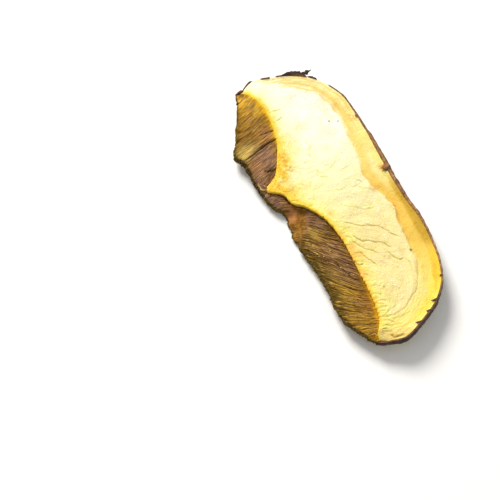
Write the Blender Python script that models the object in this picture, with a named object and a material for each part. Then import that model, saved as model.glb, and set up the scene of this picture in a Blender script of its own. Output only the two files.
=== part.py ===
"""A dried butter bolete slice: one slice cut lengthwise through a mushroom cap and dried flat.

It grew as one piece, so it is one solid: pale flesh, the thin dark skin of the cap along its curved
edge, and the tube layer along its straight side. The slice lies on its back face. +X runs along the
cap's chord, +Y towards the cap's skin and +Z up, and the origin is under the middle of its outline.

The solid is a loft. Rings of points run across the slice, over the top face, down the skin, back
under the slice and up the pore edge, and neighbouring rings are joined from tip to tip.
"""

import math

import bmesh
import bpy
import numpy as np
from mathutils import Vector, noise

# Sizes below are in millimetres, and MM is one of them in metres.
MM = 0.001
FLESH_THICKNESS = 4.2
TUBE_THICKNESS = 3.6
RING_COUNT = 118

# Stations from the left tip to the right one, each with three points of the cut face (x, y): on the
# pore edge, where the tubes meet the flesh, and on the skin.
STATIONS = [
    [(-45.9, -8.2), (-45.6, -7.3), (-45.8, -5.9)],
    [(-43.6, -9.1), (-43.9, -5.7), (-46.9, -2.6)],
    [(-39.9, -11.1), (-40.3, -4.4), (-45.3, 1.8)],
    [(-35.4, -13.9), (-36.0, -3.9), (-42.6, 9.0)],
    [(-31.0, -16.8), (-31.7, -4.4), (-37.6, 14.9)],
    [(-27.4, -19.2), (-27.8, -5.4), (-31.9, 17.9)],
    [(-23.6, -17.9), (-24.3, -6.6), (-26.6, 19.2)],
    [(-15.8, -18.3), (-16.2, -11.9), (-16.2, 18.9)],
    [(-12.9, -18.0), (-12.9, -16.8), (-12.0, 18.5)],
    [(-9.3, -17.7), (-9.4, -13.6), (-7.0, 18.0)],
    [(-6.3, -16.4), (-5.6, -12.5), (-2.5, 17.5)],
    [(-3.9, -15.2), (-2.0, -9.3), (2.5, 17.0)],
    [(1.4, -16.6), (4.6, -6.6), (9.5, 16.7)],
    [(8.5, -17.2), (12.5, -6.1), (17.5, 16.7)],
    [(15.8, -17.1), (20.0, -7.0), (24.8, 15.7)],
    [(23.0, -17.5), (27.3, -8.0), (31.6, 13.8)],
    [(30.0, -18.7), (33.6, -9.2), (37.5, 10.8)],
    [(35.6, -18.4), (38.3, -10.6), (42.1, 5.8)],
    [(39.7, -16.5), (41.0, -12.2), (45.3, -1.0)],
    [(41.9, -15.7), (42.2, -13.4), (47.0, -6.9)],
    [(43.6, -14.6), (43.7, -13.8), (45.4, -11.6)],
]
# The pointed left tip and the right one are thinner: this share of the thickness, and how much more
# of it each station adds until the slice is at its full thickness.
LEFT_TIP_SHARE = 0.45
RIGHT_TIP_SHARE = 0.5
TIP_TAPER = 0.3

# The slice has warped: its ends and sides lift off the flat spot that it rests on.
END_LIFT = 3.0
SIDE_LIFT = 1.2
FLAT_SPOT = 0.45
HALF_LENGTH = 47.0
HALF_WIDTH = 19.0

# The columns of points in a ring, in the ring's order. Across the tubes they are shares of the way
# from the pore edge to the flesh, across the flesh shares of the way from the tubes to the skin, and
# on the skin and the pore edge shares of the height.
TUBE_COLUMNS = [0.0, 0.16, 0.34, 0.52, 0.7, 0.86, 0.975]
FLESH_COLUMNS = [0.0, 0.08, 0.16, 0.24, 0.32, 0.4, 0.48, 0.56, 0.64, 0.71, 0.77, 0.83, 0.89, 0.95, 1.0]
SKIN_COLUMNS = [0.72, 0.42, 0.14]
BACK_FLESH_COLUMNS = [0.985, 0.86, 0.68, 0.5, 0.32, 0.16, 0.02]
BACK_TUBE_COLUMNS = [0.85, 0.6, 0.32, 0.08]
PORE_COLUMNS = [0.2, 0.6]

# The tubes are ridges side by side, on the top face and fainter on the back, and their layer thins
# towards the pores. From TROUGH_STATION on they lie in a trough beside the flesh, deepest next to it.
PLEAT_HEIGHT = 0.33
BACK_PLEAT_HEIGHT = 0.3
PORE_SIDE_FALL = 0.6
TROUGH_STATION = 6.7
TROUGH_DEPTH = 1.3
TROUGH_DEPTH_FAR = 0.7
# Cracks across the tubes: the station, the share of the way to the flesh where it starts, its depth.
TUBE_CRACKS = [(5.8, 0.0, 1.1), (12.9, 0.55, 0.7), (14.7, 0.6, 0.9)]
CRACK_WIDTH = 0.09
# A roll of tubes beside the notch, and the patch where the pore mouths have curled up to face out.
ROLL_STATION = 9.4
ROLL_LENGTH = 0.8
ROLL_HEIGHT = 0.7
PATCH_START = 10.8
PATCH_END = 13.2
PATCH_SLOPE = 0.28

# The golden band along the skin is sunk a little, with a soft ridge along its inner side. Its width
# is given at some of the stations.
BAND_STATIONS = [0, 2, 4, 6, 7, 10, 11, 12, 13, 14, 18, 19, 20]
BAND_WIDTHS = [1.0, 3.5, 4.5, 4.6, 5.6, 7.2, 6.2, 4.6, 5.9, 6.9, 7.0, 5.5, 1.0]
BAND_DEPTH = 0.45
RIDGE_HEIGHT = 0.35
RIDGE_WIDTH = 1.2
# The flesh stands up to the skin in a thin lip, and drying left swells and ripples all over it.
LIP_HEIGHT = 0.6
LIP_WIDTH = 0.9
SWELL_HEIGHT = 0.25
SWELL_SIZE = 7.0
RIPPLE_HEIGHT = 0.15
RIPPLE_SIZE = 3.0
# Folds in the flesh, each with its width, its depth and the points that it passes.
FOLDS = [
    (1.0, 0.6, [(26.5, 8.2), (32.3, 6.0), (37.3, 0.7), (39.4, -5.0), (37.5, -10.3)]),
    (0.9, 0.5, [(2.0, 0.2), (5.3, 4.0), (6.8, 8.5)]),
    (0.9, 0.6, [(8.0, -1.1), (12.9, 5.4), (19.2, 8.8)]),
    (0.9, 0.6, [(11.6, -2.7), (16.2, 1.3), (21.0, 5.0)]),
    (0.9, 0.5, [(17.7, -3.8), (22.2, -2.6), (23.9, -0.9)]),
    (0.8, 0.5, [(18.1, 0.7), (23.2, 2.9), (25.7, 6.3)]),
    (0.9, 0.4, [(-22.2, 1.1), (-17.0, 0.1), (-11.3, -0.2), (-12.4, 7.4)]),
]

# The skin bulges out a little between the two faces and is wrinkled, like the pore edge.
SKIN_BULGE = 0.35
SKIN_WRINKLE = 0.3
PORE_BULGE = 0.5
PORE_WRINKLE = 0.25
# Notches torn in the skin, each with its place (x, y), its width and its depth.
SKIN_NOTCHES = [
    ((-19.6, 18.7), 1.1, 0.7),
    ((-1.0, 17.4), 1.0, 0.5),
    ((38.9, 9.3), 1.2, 1.0),
    ((42.6, 5.0), 1.1, 0.9),
    ((45.2, -0.6), 1.3, 1.0),
]
NOTCH_REACH = 2.5
# The flap of skin that has curled up and out at the left end.
FLAP_MIDDLE = (-43.0, 8.4)
FLAP_REACH = 4.6
FLAP_CURL = 1.3
FLAP_RISE = 1.0


def smooth_step(low, high, value):
    """0 at low, 1 at high and a smooth change between them, which may run either way."""
    share = min(1.0, max(0.0, (value - low) / (high - low)))
    return share * share * (3 - 2 * share)


def bell(distance, width):
    """1 at no distance, falling to nothing a few widths away."""
    return math.exp(-((distance / width) ** 2))


def wave(x, y, size, seed):
    """Smooth uneven swells of about this size, between -1 and 1."""
    return noise.noise(Vector((x / size, y / size, seed)))


def curve_through(points, place):
    """The point at this place, in stations, on a smooth curve through all the points."""
    last = len(points) - 1
    start = min(int(place), last - 1)
    share = place - start
    before, a, b, after = (np.array(points[min(max(start + i, 0), last)]) for i in (-1, 0, 1, 2))
    middle = 2 * before - 5 * a + 4 * b - after
    end = 3 * a - before - 3 * b + after
    return 0.5 * (2 * a + (b - before) * share + middle * share**2 + end * share**3)


def distance_to_path(point, path):
    """How far a point is from the line drawn through the path's points."""
    nearest = math.inf
    for a, b in zip(path, path[1:]):
        a, b = np.array(a), np.array(b)
        share = np.clip((point - a) @ (b - a) / ((b - a) @ (b - a)), 0, 1)
        nearest = min(nearest, np.linalg.norm(point - a - share * (b - a)))
    return nearest


def ring_places():
    """The rings' places in stations, spread evenly along the slice."""
    fine = np.linspace(0, len(STATIONS) - 1, 1200)
    rows = np.array([curve_through(STATIONS, place) for place in fine])
    steps = np.linalg.norm(np.diff(rows, axis=0), axis=2).mean(axis=1)
    along = np.concatenate([[0], np.cumsum(steps)])
    return np.interp(np.linspace(0, along[-1], RING_COUNT), along, fine)


def lift(point):
    """How high the back face is off the ground, and 0 over the flat spot."""
    x, y = point
    return max(0.0, END_LIFT * (x / HALF_LENGTH) ** 2 + SIDE_LIFT * (y / HALF_WIDTH) ** 2 - FLAT_SPOT)


def tube_height(point, across, ring, place, length):
    """The top face's height over its back where the tubes are, with across running from 0 to 1."""
    height = TUBE_THICKNESS + (FLESH_THICKNESS - TUBE_THICKNESS) * smooth_step(0.6, 1.0, across)
    trough = TROUGH_DEPTH_FAR + (TROUGH_DEPTH - TROUGH_DEPTH_FAR) * smooth_step(0.45, 0.85, across)
    wall = smooth_step(1.0, 0.94, across)
    height -= trough * wall * smooth_step(TROUGH_STATION - 0.5, TROUGH_STATION + 0.5, place)
    height -= PORE_SIDE_FALL * (1 - across) ** 2
    height += ROLL_HEIGHT * bell(place - ROLL_STATION, ROLL_LENGTH) * math.sin(math.pi * across)
    # The patch's upper edge runs from the flesh at its start down to the pore edge at its end.
    patch_edge = min(1.0, max(0.0, (PATCH_END - place) / (PATCH_END - PATCH_START)))
    patch_drop = PATCH_SLOPE * length * max(0.0, patch_edge - across)
    height -= patch_drop * smooth_step(PATCH_START - 0.6, PATCH_START, place)
    for station, start, depth in TUBE_CRACKS:
        inside = smooth_step(start - 0.1, start + 0.1, across)
        height -= depth * bell(place - station, CRACK_WIDTH) * inside
    # Every second ring is high, and some tubes stand out more than others.
    side = 1 if ring % 2 else -1
    pleat = side * PLEAT_HEIGHT * (0.8 + 0.5 * wave(*point, size=4.0, seed=3.1))
    return height + pleat * smooth_step(1.0, 0.9, across)


def flesh_height(point, place, to_skin):
    """The top face's height over its back where the flesh is, this far from the skin."""
    width = np.interp(place, BAND_STATIONS, BAND_WIDTHS)
    height = FLESH_THICKNESS - BAND_DEPTH * smooth_step(width + 0.6, width - 1.2, to_skin)
    height += RIDGE_HEIGHT * bell(to_skin - width - RIDGE_WIDTH / 2, RIDGE_WIDTH)
    height += LIP_HEIGHT * bell(to_skin, LIP_WIDTH)
    height += SWELL_HEIGHT * wave(*point, SWELL_SIZE, seed=5.3)
    height += RIPPLE_HEIGHT * wave(*point, RIPPLE_SIZE, seed=8.9)
    for fold_width, depth, path in FOLDS:
        height -= depth * bell(distance_to_path(point, path), fold_width)
    return height


def ring_points(ring, place):
    """One closed ring across the slice, in the order of the columns, in millimetres."""
    pore, boundary, skin = curve_through(STATIONS, place)
    flesh_length = np.linalg.norm(skin - boundary)
    tube_length = np.linalg.norm(pore - boundary)
    outward = (skin - boundary) / flesh_length
    downward = (pore - boundary) / tube_length
    left_tip = LEFT_TIP_SHARE + TIP_TAPER * place
    right_tip = RIGHT_TIP_SHARE + TIP_TAPER * (len(STATIONS) - 1 - place)
    thick = min(1.0, left_tip, right_tip)
    flap = bell(math.dist(skin, FLAP_MIDDLE), FLAP_REACH)
    torn = sum(depth * bell(math.dist(skin, middle), width) for middle, width, depth in SKIN_NOTCHES)
    points = []

    def add(flat, height):
        points.append((*flat, lift(flat) + height))

    for across in TUBE_COLUMNS:
        flat = pore + across * (boundary - pore)
        add(flat, thick * tube_height(flat, across, ring, place, tube_length))
    for across in FLESH_COLUMNS:
        flat = boundary + across * (skin - boundary)
        to_skin = (1 - across) * flesh_length
        height = thick * flesh_height(flat, place, to_skin)
        height += FLAP_RISE * flap * smooth_step(3.0, 0.0, to_skin)
        pulled_in = 0.5 * torn * smooth_step(NOTCH_REACH, 0.0, to_skin)
        add(flat - pulled_in * outward, height)
    skin_top = height
    for share in SKIN_COLUMNS:
        bulge = SKIN_BULGE * math.sin(math.pi * share)
        bulge += SKIN_WRINKLE * wave(1.3 * place, 2 * share, size=0.8, seed=4.4)
        bulge += FLAP_CURL * flap * smooth_step(0.3, 0.8, share) - torn
        add(skin + thick * bulge * outward, share * skin_top)
    for across in BACK_FLESH_COLUMNS:
        flat = boundary + across * (skin - boundary)
        add(flat, 0.0)
    for across in BACK_TUBE_COLUMNS:
        flat = pore + across * (boundary - pore)
        add(flat, thick * BACK_PLEAT_HEIGHT * (ring % 2))
    pore_top = points[0][2] - lift(pore)
    for share in PORE_COLUMNS:
        bulge = PORE_BULGE * math.sin(math.pi * share)
        bulge += PORE_WRINKLE * wave(1.7 * place, share, size=0.9, seed=6.2)
        add(pore + thick * bulge * downward, share * pore_top)
    return points


def column_material(column):
    """The material slot of the strip of faces that starts at this column: flesh, skin or tubes."""
    first_skin = len(TUBE_COLUMNS) + len(FLESH_COLUMNS) - 1
    first_back = first_skin + len(SKIN_COLUMNS) + 1
    first_back_tube = first_back + len(BACK_FLESH_COLUMNS) - 1
    if first_skin <= column < first_back:
        return 1
    if column < len(TUBE_COLUMNS) or column >= first_back_tube:
        return 2
    return 0


def slice_mesh():
    """The whole slice as one closed mesh, centred over the origin and standing on Z = 0."""
    rings = np.array([ring_points(ring, place) for ring, place in enumerate(ring_places())])
    low, high = rings.min(axis=(0, 1)), rings.max(axis=(0, 1))
    rings -= ((low[0] + high[0]) / 2, (low[1] + high[1]) / 2, low[2])
    bm = bmesh.new()
    loops = [[bm.verts.new(point * MM) for point in ring] for ring in rings]
    count = len(loops[0])
    for here, there in zip(loops, loops[1:]):
        for column in range(count):
            following = (column + 1) % count
            face = bm.faces.new((here[column], there[column], there[following], here[following]))
            face.material_index = column_material(column)
            face.smooth = True
    bm.faces.new(loops[0])
    bm.faces.new(reversed(loops[-1]))
    bmesh.ops.triangulate(bm, faces=bm.faces)
    mesh = bpy.data.meshes.new("bolete_slice")
    bm.to_mesh(mesh)
    bm.free()
    return mesh


def material(name, colour, roughness):
    made = bpy.data.materials.new(name)
    made.use_nodes = True
    shader = made.node_tree.nodes["Principled BSDF"]
    shader.inputs["Base Color"].default_value = (*colour, 1.0)
    shader.inputs["Roughness"].default_value = roughness
    return made


for old in list(bpy.data.objects):
    bpy.data.objects.remove(old)

bolete_slice = bpy.data.objects.new("bolete_slice", slice_mesh())
bolete_slice.data.materials.append(material("bolete_flesh", (0.93, 0.83, 0.48), 0.75))
bolete_slice.data.materials.append(material("bolete_skin", (0.14, 0.06, 0.035), 0.6))
bolete_slice.data.materials.append(material("bolete_tubes", (0.38, 0.22, 0.07), 0.8))
bpy.context.scene.collection.objects.link(bolete_slice)
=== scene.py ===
import math

import bpy
import numpy as np
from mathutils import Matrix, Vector, noise


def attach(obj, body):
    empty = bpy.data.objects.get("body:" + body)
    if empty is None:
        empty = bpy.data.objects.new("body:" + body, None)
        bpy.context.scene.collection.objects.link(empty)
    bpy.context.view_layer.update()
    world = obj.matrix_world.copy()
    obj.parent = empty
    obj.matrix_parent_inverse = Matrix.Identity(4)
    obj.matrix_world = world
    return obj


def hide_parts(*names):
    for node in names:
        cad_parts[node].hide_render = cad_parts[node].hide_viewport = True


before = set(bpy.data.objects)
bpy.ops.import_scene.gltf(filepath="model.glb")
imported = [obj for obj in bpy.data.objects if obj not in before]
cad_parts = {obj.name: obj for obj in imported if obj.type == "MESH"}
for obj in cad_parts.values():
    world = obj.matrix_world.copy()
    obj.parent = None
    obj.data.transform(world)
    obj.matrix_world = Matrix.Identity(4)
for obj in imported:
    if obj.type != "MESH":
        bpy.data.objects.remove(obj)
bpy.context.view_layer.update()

# The studio. The slice lies on a plain pale floor under one wide soft light from its pointed end,
# and an even white surrounding fills the shadows. The camera looks down on it, as in the photograph.
MM = 0.001
CAMERA_AZIMUTH = math.radians(60)
CAMERA_ELEVATION = math.radians(64)
CAMERA_DISTANCE = 403 * MM
CAMERA_AIM = Vector((-0.402, -29.72, 0)) * MM
CAMERA_LENS = 100
SURROUND_STRENGTH = 0.58
SURROUND_COLOUR = (1.0, 0.985, 0.96)
KEY_PLACE = Vector((-0.66, 0.02, 0.54))
KEY_SIZE = 0.42
KEY_POWER = 10.7
KEY_COLOUR = (1.0, 0.97, 0.92)
FLOOR_SIZE = 3.0
FLOOR_DROP = 0.02 * MM
FLOOR_COLOUR = (0.83, 0.83, 0.825)

scene = bpy.context.scene
scene.view_settings.view_transform = "Standard"

camera = bpy.data.objects.new("camera", bpy.data.cameras.new("camera"))
camera.data.lens = CAMERA_LENS
camera.data.clip_start = 0.01
camera_back = Vector((
    math.sin(CAMERA_AZIMUTH) * math.cos(CAMERA_ELEVATION),
    -math.cos(CAMERA_AZIMUTH) * math.cos(CAMERA_ELEVATION),
    math.sin(CAMERA_ELEVATION),
))
camera.location = CAMERA_AIM + CAMERA_DISTANCE * camera_back
camera.rotation_euler = camera_back.to_track_quat("Z", "Y").to_euler()
scene.collection.objects.link(camera)
scene.camera = camera

world = bpy.data.worlds.new("white_surround")
world.use_nodes = True
world.node_tree.nodes["Background"].inputs["Color"].default_value = (*SURROUND_COLOUR, 1.0)
world.node_tree.nodes["Background"].inputs["Strength"].default_value = SURROUND_STRENGTH
scene.world = world

key = bpy.data.objects.new("key_light", bpy.data.lights.new("key_light", "AREA"))
key.data.shape = "DISK"
key.data.size = KEY_SIZE
key.data.energy = KEY_POWER
key.data.color = KEY_COLOUR
key.location = KEY_PLACE
key.rotation_euler = KEY_PLACE.to_track_quat("Z", "Y").to_euler()
scene.collection.objects.link(key)

floor_mesh = bpy.data.meshes.new("floor")
half = FLOOR_SIZE / 2
corners = [(-half, -half), (half, -half), (half, half), (-half, half)]
floor_mesh.from_pydata([(x, y, -FLOOR_DROP) for x, y in corners], [], [(0, 1, 2, 3)])
floor = bpy.data.objects.new("floor", floor_mesh)
floor_finish = bpy.data.materials.new("pale_floor")
floor_finish.use_nodes = True
floor_shader = floor_finish.node_tree.nodes["Principled BSDF"]
floor_shader.inputs["Base Color"].default_value = (*FLOOR_COLOUR, 1.0)
floor_shader.inputs["Roughness"].default_value = 0.9
floor_shader.inputs["Specular IOR Level"].default_value = 0.1
floor_mesh.materials.append(floor_finish)
scene.collection.objects.link(floor)

# The cap flesh. It is the pale body of the slice, cut flat and then dried until it swelled, sank into
# a golden band along the skin and creased. It runs from the tubes' roots to the inside of the skin.
# Its sizes, and those of all the pieces after it, are in millimetres.
FLESH_THICKNESS = 4.2
FLESH_STEP = 0.22
FLESH_COLUMNS = 140
FLESH_BACK_COLUMNS = 44
# Each station has three points of the cut face (x, y): on the pore edge, at the tubes' roots and on the
# skin. They go from the left tip to the right one, and places along the slice are counted in stations.
STATIONS = [
    [(-45.9, -8.2), (-45.6, -7.3), (-45.8, -5.9)],
    [(-43.6, -9.1), (-43.9, -5.7), (-46.9, -2.6)],
    [(-39.9, -11.1), (-40.3, -4.4), (-45.3, 1.8)],
    [(-35.4, -13.9), (-36.0, -3.9), (-42.6, 9.0)],
    [(-31.0, -16.8), (-31.7, -4.4), (-37.6, 14.9)],
    [(-27.4, -19.2), (-27.8, -5.4), (-31.9, 17.9)],
    [(-23.6, -17.9), (-24.3, -6.6), (-26.6, 19.2)],
    [(-15.8, -18.3), (-16.2, -11.9), (-16.2, 18.9)],
    [(-12.9, -18.0), (-12.9, -16.8), (-12.0, 18.5)],
    [(-9.3, -17.7), (-9.4, -13.6), (-7.0, 18.0)],
    [(-6.3, -16.4), (-5.6, -12.5), (-2.5, 17.5)],
    [(-3.9, -15.2), (-2.0, -9.3), (2.5, 17.0)],
    [(1.4, -16.6), (4.6, -6.6), (9.5, 16.7)],
    [(8.5, -17.2), (12.5, -6.1), (17.5, 16.7)],
    [(15.8, -17.1), (20.0, -7.0), (24.8, 15.7)],
    [(23.0, -17.5), (27.3, -8.0), (31.6, 13.8)],
    [(30.0, -18.7), (33.6, -9.2), (37.5, 10.8)],
    [(35.6, -18.4), (38.3, -10.6), (42.1, 5.8)],
    [(39.7, -16.5), (41.0, -12.2), (45.3, -1.0)],
    [(41.9, -15.7), (42.2, -13.4), (47.0, -6.9)],
    [(43.6, -14.6), (43.7, -13.8), (45.4, -11.6)],
]
LAST_STATION = len(STATIONS) - 1
# The middle of the outline, which lies over the part's origin.
MIDDLE = (0.065, -0.031)
# The slice is thinner at its two tips. Its ends and its long sides have warped upwards round a flat
# middle.
LEFT_TIP_SHARE = 0.45
RIGHT_TIP_SHARE = 0.5
TIP_TAPER = 0.3
END_LIFT = 3.0
SIDE_LIFT = 1.2
FLAT_SPOT = 0.45
HALF_LENGTH = 47.0
HALF_WIDTH = 19.0
# The golden band beside the skin: its inner edge, its depth, and how much of that depth it has along
# the slice. A low ridge stands along its inner edge.
BAND_EDGE = [
    (-41.2, 4.6), (-37.6, 9.2), (-33.3, 13.2), (-25.9, 14.5), (-21.3, 14.5), (-15.1, 13.2), (-9.8, 12.4),
    (-3.3, 10.4), (2.2, 11.1), (6.2, 12.0), (10.8, 12.5), (15.1, 10.8), (18.6, 10.3), (21.4, 9.8),
    (24.7, 9.0), (28.8, 8.3), (32.3, 6.0), (35.1, 3.9), (37.3, 0.7), (38.5, -1.7), (39.5, -4.4),
    (39.4, -7.0), (38.8, -9.2), (37.5, -10.3),
]
BAND_DEPTH = 0.42
BAND_SHARES = [
    (0, 0.3), (6, 0.2), (10, 0.3), (11.5, 0.8), (12.5, 1.0), (14.0, 0.8), (15.5, 0.2), (17, 0.05), (20, 0.05),
]
RIDGE_HEIGHT = 0.22
RIDGE_WIDTH = 1.2
# How strongly the band is coloured along the slice, and how golden it is at each station.
BAND_COLOUR = [(0, 0.35), (4, 0.65), (5.5, 0.95), (8, 1.0)]
BAND_GOLD = [
    0.1, 0.15, 0.2, 0.25, 0.25, 0.4, 0.5, 0.4, 0.35, 0.4, 0.55, 0.85, 1.0, 1.0, 0.9, 0.6, 0.35, 0.25, 0.2,
    0.2, 0.2,
]
# The inner edges of the bright rim at the right end and of the olive strip under the skin, and an olive
# streak at the right tip.
RIM_EDGE = [(30.2, 10.5), (34.1, 8.9), (38.0, 6.0), (40.9, 2.3), (42.8, -1.9), (43.0, -6.0), (41.4, -10.6)]
OLIVE_EDGE = [
    (3.2, 15.6), (7.1, 15.3), (10.0, 15.4), (12.6, 15.1), (16.3, 14.4), (21.9, 14.1), (25.1, 13.5),
    (29.7, 12.2), (34.4, 9.9),
]
END_STREAK = [(44.4, -10.0), (45.5, -8.9), (46.5, -6.3), (46.4, -3.9)]
END_STREAK_WIDTH = 0.45
LIP_HEIGHT = 0.45
LIP_WIDTH = 0.7
# The swells of the cut face, each with its height, its size and a seed. SWELLS run on over the tubes.
SWELLS = [(0.25, 7.0, 5.3), (0.15, 3.0, 8.9)]
FINE_SWELLS = [(0.035, 0.7, 41.0), (0.05, 1.3, 43.0)]
BACK_SWELLS = [(0.12, 2.4, 71.0), (0.05, 0.9, 73.0)]
# The flesh's cut edge over the tubes is ragged on the right lobe, and more so from its middle on.
RAGGED_SWELLS = [(0.28, 1.3, 61.0), (0.16, 0.55, 63.0)]
MORE_RAGGED_SWELLS = [(0.26, 0.8, 65.0)]
EDGE_ROUNDING = 0.18
EDGE_UNDERCUT = 0.3
# The band, the creases and the wrinkles wander in waves, each with a reach, a size and two seeds.
BAND_WAVES = [(0.5, 2.6, (3.3, 7.9))]
CREASE_WAVES = [(0.25, 1.5, (1.7, 6.1)), (0.12, 0.5, (2.7, 7.1))]
WRINKLE_WAVES = [(0.9, 4.0, (12.3, 15.1))]
# Creases in the flesh, each with its depth and the points that it passes. The flesh on the left of a
# crease stands a little over it.
CREASES = [
    (0.15, [(6.1, -3.7), (7.7, -2.1), (9.4, -0.3), (10.9, 1.3), (11.7, 3.1), (13.5, 5.3), (15.7, 6.6),
            (18.3, 7.8), (20.8, 9.6)]),
    (0.10, [(13.5, 5.3), (13.2, 6.6)]),
    (0.18, [(11.6, -3.1), (12.7, -2.5), (14.1, -2.0), (15.2, -1.2), (15.7, 0.4), (17.3, 1.8), (18.5, 3.6),
            (20.1, 4.2), (22.1, 5.3)]),
    (0.15, [(12.4, -3.8), (14.5, -3.4), (16.1, -2.5), (18.1, -1.4), (19.4, -0.2), (21.1, 0.5)]),
    (0.16, [(21.2, 3.0), (22.4, 3.3), (23.9, 3.6), (24.9, 4.1), (25.7, 5.0), (25.7, 6.2)]),
    (0.07, [(25.7, 6.2), (26.8, 6.7), (28.5, 6.4), (29.9, 6.1)]),
    (0.18, [(17.3, -3.6), (18.6, -3.5), (20.1, -3.2), (21.3, -2.8), (22.3, -2.3), (24.2, -1.4)]),
    (0.16, [(28.9, 8.7), (31.2, 7.2), (33.0, 5.9), (35.9, 3.6), (37.1, 1.4), (38.1, -0.4), (38.8, -1.4),
            (39.5, -4.2), (39.6, -6.9), (38.5, -9.9), (37.8, -11.0)]),
    (0.10, [(38.5, -9.6), (38.2, -7.8), (37.7, -6.3), (37.1, -3.4)]),
    (0.06, [(38.0, -7.7), (37.2, -6.2), (34.2, -4.3)]),
    (0.08, [(40.1, -8.1), (40.9, -5.8), (41.0, -3.8), (41.2, -1.4)]),
    (0.07, [(40.6, -10.8), (41.9, -9.3), (42.6, -7.2), (43.1, -5.6)]),
    (0.09, [(41.6, -11.9), (43.3, -8.8), (44.1, -5.6), (44.0, -3.2)]),
    (0.06, [(26.8, 6.7), (28.6, 6.5), (30.9, 5.8)]),
    (0.06, [(38.3, 2.9), (39.4, 1.2), (39.9, -1.0)]),
    (0.06, [(31.7, 2.1), (32.6, 1.0), (33.5, -0.3), (33.8, -1.7)]),
    (0.22, [(19.2, -7.0), (20.0, -6.7), (20.9, -6.4), (21.6, -5.7), (21.3, -4.7)]),
    (0.08, [(-12.2, 7.8), (-11.6, 6.0), (-10.3, 4.2), (-9.9, 2.0), (-10.2, -0.2), (-12.5, -0.9)]),
    (0.07, [(-3.9, 9.0), (-4.0, 6.9), (-4.3, 5.4), (-4.4, 3.2)]),
    (0.10, [(-2.0, 5.4), (-1.3, 5.9), (-1.2, 7.3)]),
    (0.10, [(-2.9, 7.4), (-2.2, 8.4), (-0.8, 9.0)]),
    (0.08, [(2.4, 0.0), (3.4, 1.0), (4.5, 2.3), (5.5, 3.6), (6.6, 4.8), (7.4, 6.8), (7.2, 8.3)]),
    (0.06, [(-3.4, 0.2), (-2.2, 1.9), (-2.0, 3.7)]),
    (0.05, [(-7.8, 5.4), (-7.9, 6.9), (-8.0, 8.6)]),
    (0.07, [(-0.9, 7.1), (0.7, 8.1), (1.6, 9.4), (2.5, 9.8)]),
    (0.05, [(-21.8, 1.3), (-20.0, 1.7), (-18.9, 1.8), (-17.5, 0.4), (-15.7, 0.1)]),
    (0.05, [(-10.2, -1.0), (-8.7, -0.2), (-8.1, 0.8), (-7.0, 0.8)]),
    (0.05, [(5.1, 4.8), (6.0, 6.4), (6.5, 7.8)]),
    (0.05, [(-10.9, -5.9), (-9.9, -6.5), (-8.7, -6.9)]),
    (0.05, [(-9.2, -3.9), (-8.0, -4.9), (-6.6, -5.5)]),
    (0.05, [(-4.9, -5.4), (-4.0, -6.0), (-3.0, -6.3)]),
    (0.07, [(-34.9, -3.2), (-34.4, -1.2), (-34.2, 0.8)]),
    (0.07, [(-31.3, -4.2), (-31.4, -2.0), (-31.7, -0.2)]),
    (0.10, [(-11.4, -13.6), (-9.9, -12.6), (-9.0, -11.9)]),
    (0.10, [(-6.1, -12.9), (-5.9, -11.1), (-4.4, -10.5)]),
    (0.18, [(43.8, -11.0), (44.6, -10.5), (45.4, -9.5), (45.8, -8.2), (46.0, -7.0)]),
]
CREASE_WIDTH = 0.2
# Creases less deep than this show as fine veins, with greenish yellow spots beside them.
VEIN_DEPTH = 0.09
VEIN_WIDTH = 0.28
VEIN_SPOTS = [
    (-15.4, -2.0), (-15.2, -1.0), (-19.7, -3.3), (-20.3, -1.5), (-12.9, -5.6), (-15.3, -6.6), (2.6, -3.5),
    (-0.3, -2.9), (1.6, -0.2), (-14.4, -10.2), (-16.7, -6.9), (-13.6, -10.4),
]
VEIN_SPOT_SIZE = 0.45
# Golden streaks in the band at the pointed end.
STREAKS = [
    [(-44.0, 3.9), (-42.4, 6.9), (-39.5, 11.9), (-36.5, 14.1)],
    [(-43.1, 3.1), (-41.1, 6.2), (-38.7, 9.7), (-36.0, 12.7), (-32.5, 14.9), (-28.9, 16.3)],
    [(-41.6, 3.5), (-39.9, 6.4), (-37.0, 9.6), (-34.3, 12.9), (-31.7, 14.4), (-27.3, 15.4)],
    [(-35.0, 11.7), (-32.9, 12.9), (-29.6, 13.9), (-25.8, 14.4), (-22.0, 14.6)],
]
STREAK_WIDTH = 0.42
STREAK_DEPTH = 0.03
# At the right end the flesh dried in low arcs along the skin.
ARC_DEPTH = 0.06
# Short creases fan out into the flesh from the tubes' roots on the right lobe.
FAN_COUNT = 46
FAN_START = 12.4
FAN_END = 18.6
FAN_DEPTHS = (0.04, 0.12)
FAN_LENGTHS = (0.8, 3.4)
FAN_LEANS = (-0.1, 0.5)
# How far the golden glow and its paler halo reach from the tubes' roots, at some of the stations.
GLOW_STATIONS = [0, 1, 3, 5, 6, 7, 8, 9, 10, 12, 14, 16, 18, 20]
GLOW_REACH = [0.6, 1.0, 1.2, 1.4, 1.7, 2.4, 2.6, 1.8, 1.1, 0.9, 0.8, 0.9, 1.0, 0.8]
HALO_REACH = [1.6, 2.6, 3.4, 3.8, 4.8, 7.0, 8.2, 7.4, 5.2, 3.8, 3.4, 3.0, 2.6, 1.6]
# Patches of fine wrinkles: their middle, how far they reach, their direction in degrees, their depth.
WRINKLE_ZONES = [
    ((-19.0, 3.0), 8.0, 8, 0.03),
    ((-8.0, 4.0), 8.0, 95, 0.04),
    ((4.0, 4.0), 8.0, 60, 0.05),
    ((14.0, 3.0), 8.0, 40, 0.09),
    ((22.0, 1.5), 7.5, 28, 0.11),
    ((31.0, -3.5), 6.5, 66, 0.09),
    ((-11.0, -7.0), 6.0, 62, 0.07),
    ((8.0, -2.0), 5.0, 45, 0.06),
]
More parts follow.
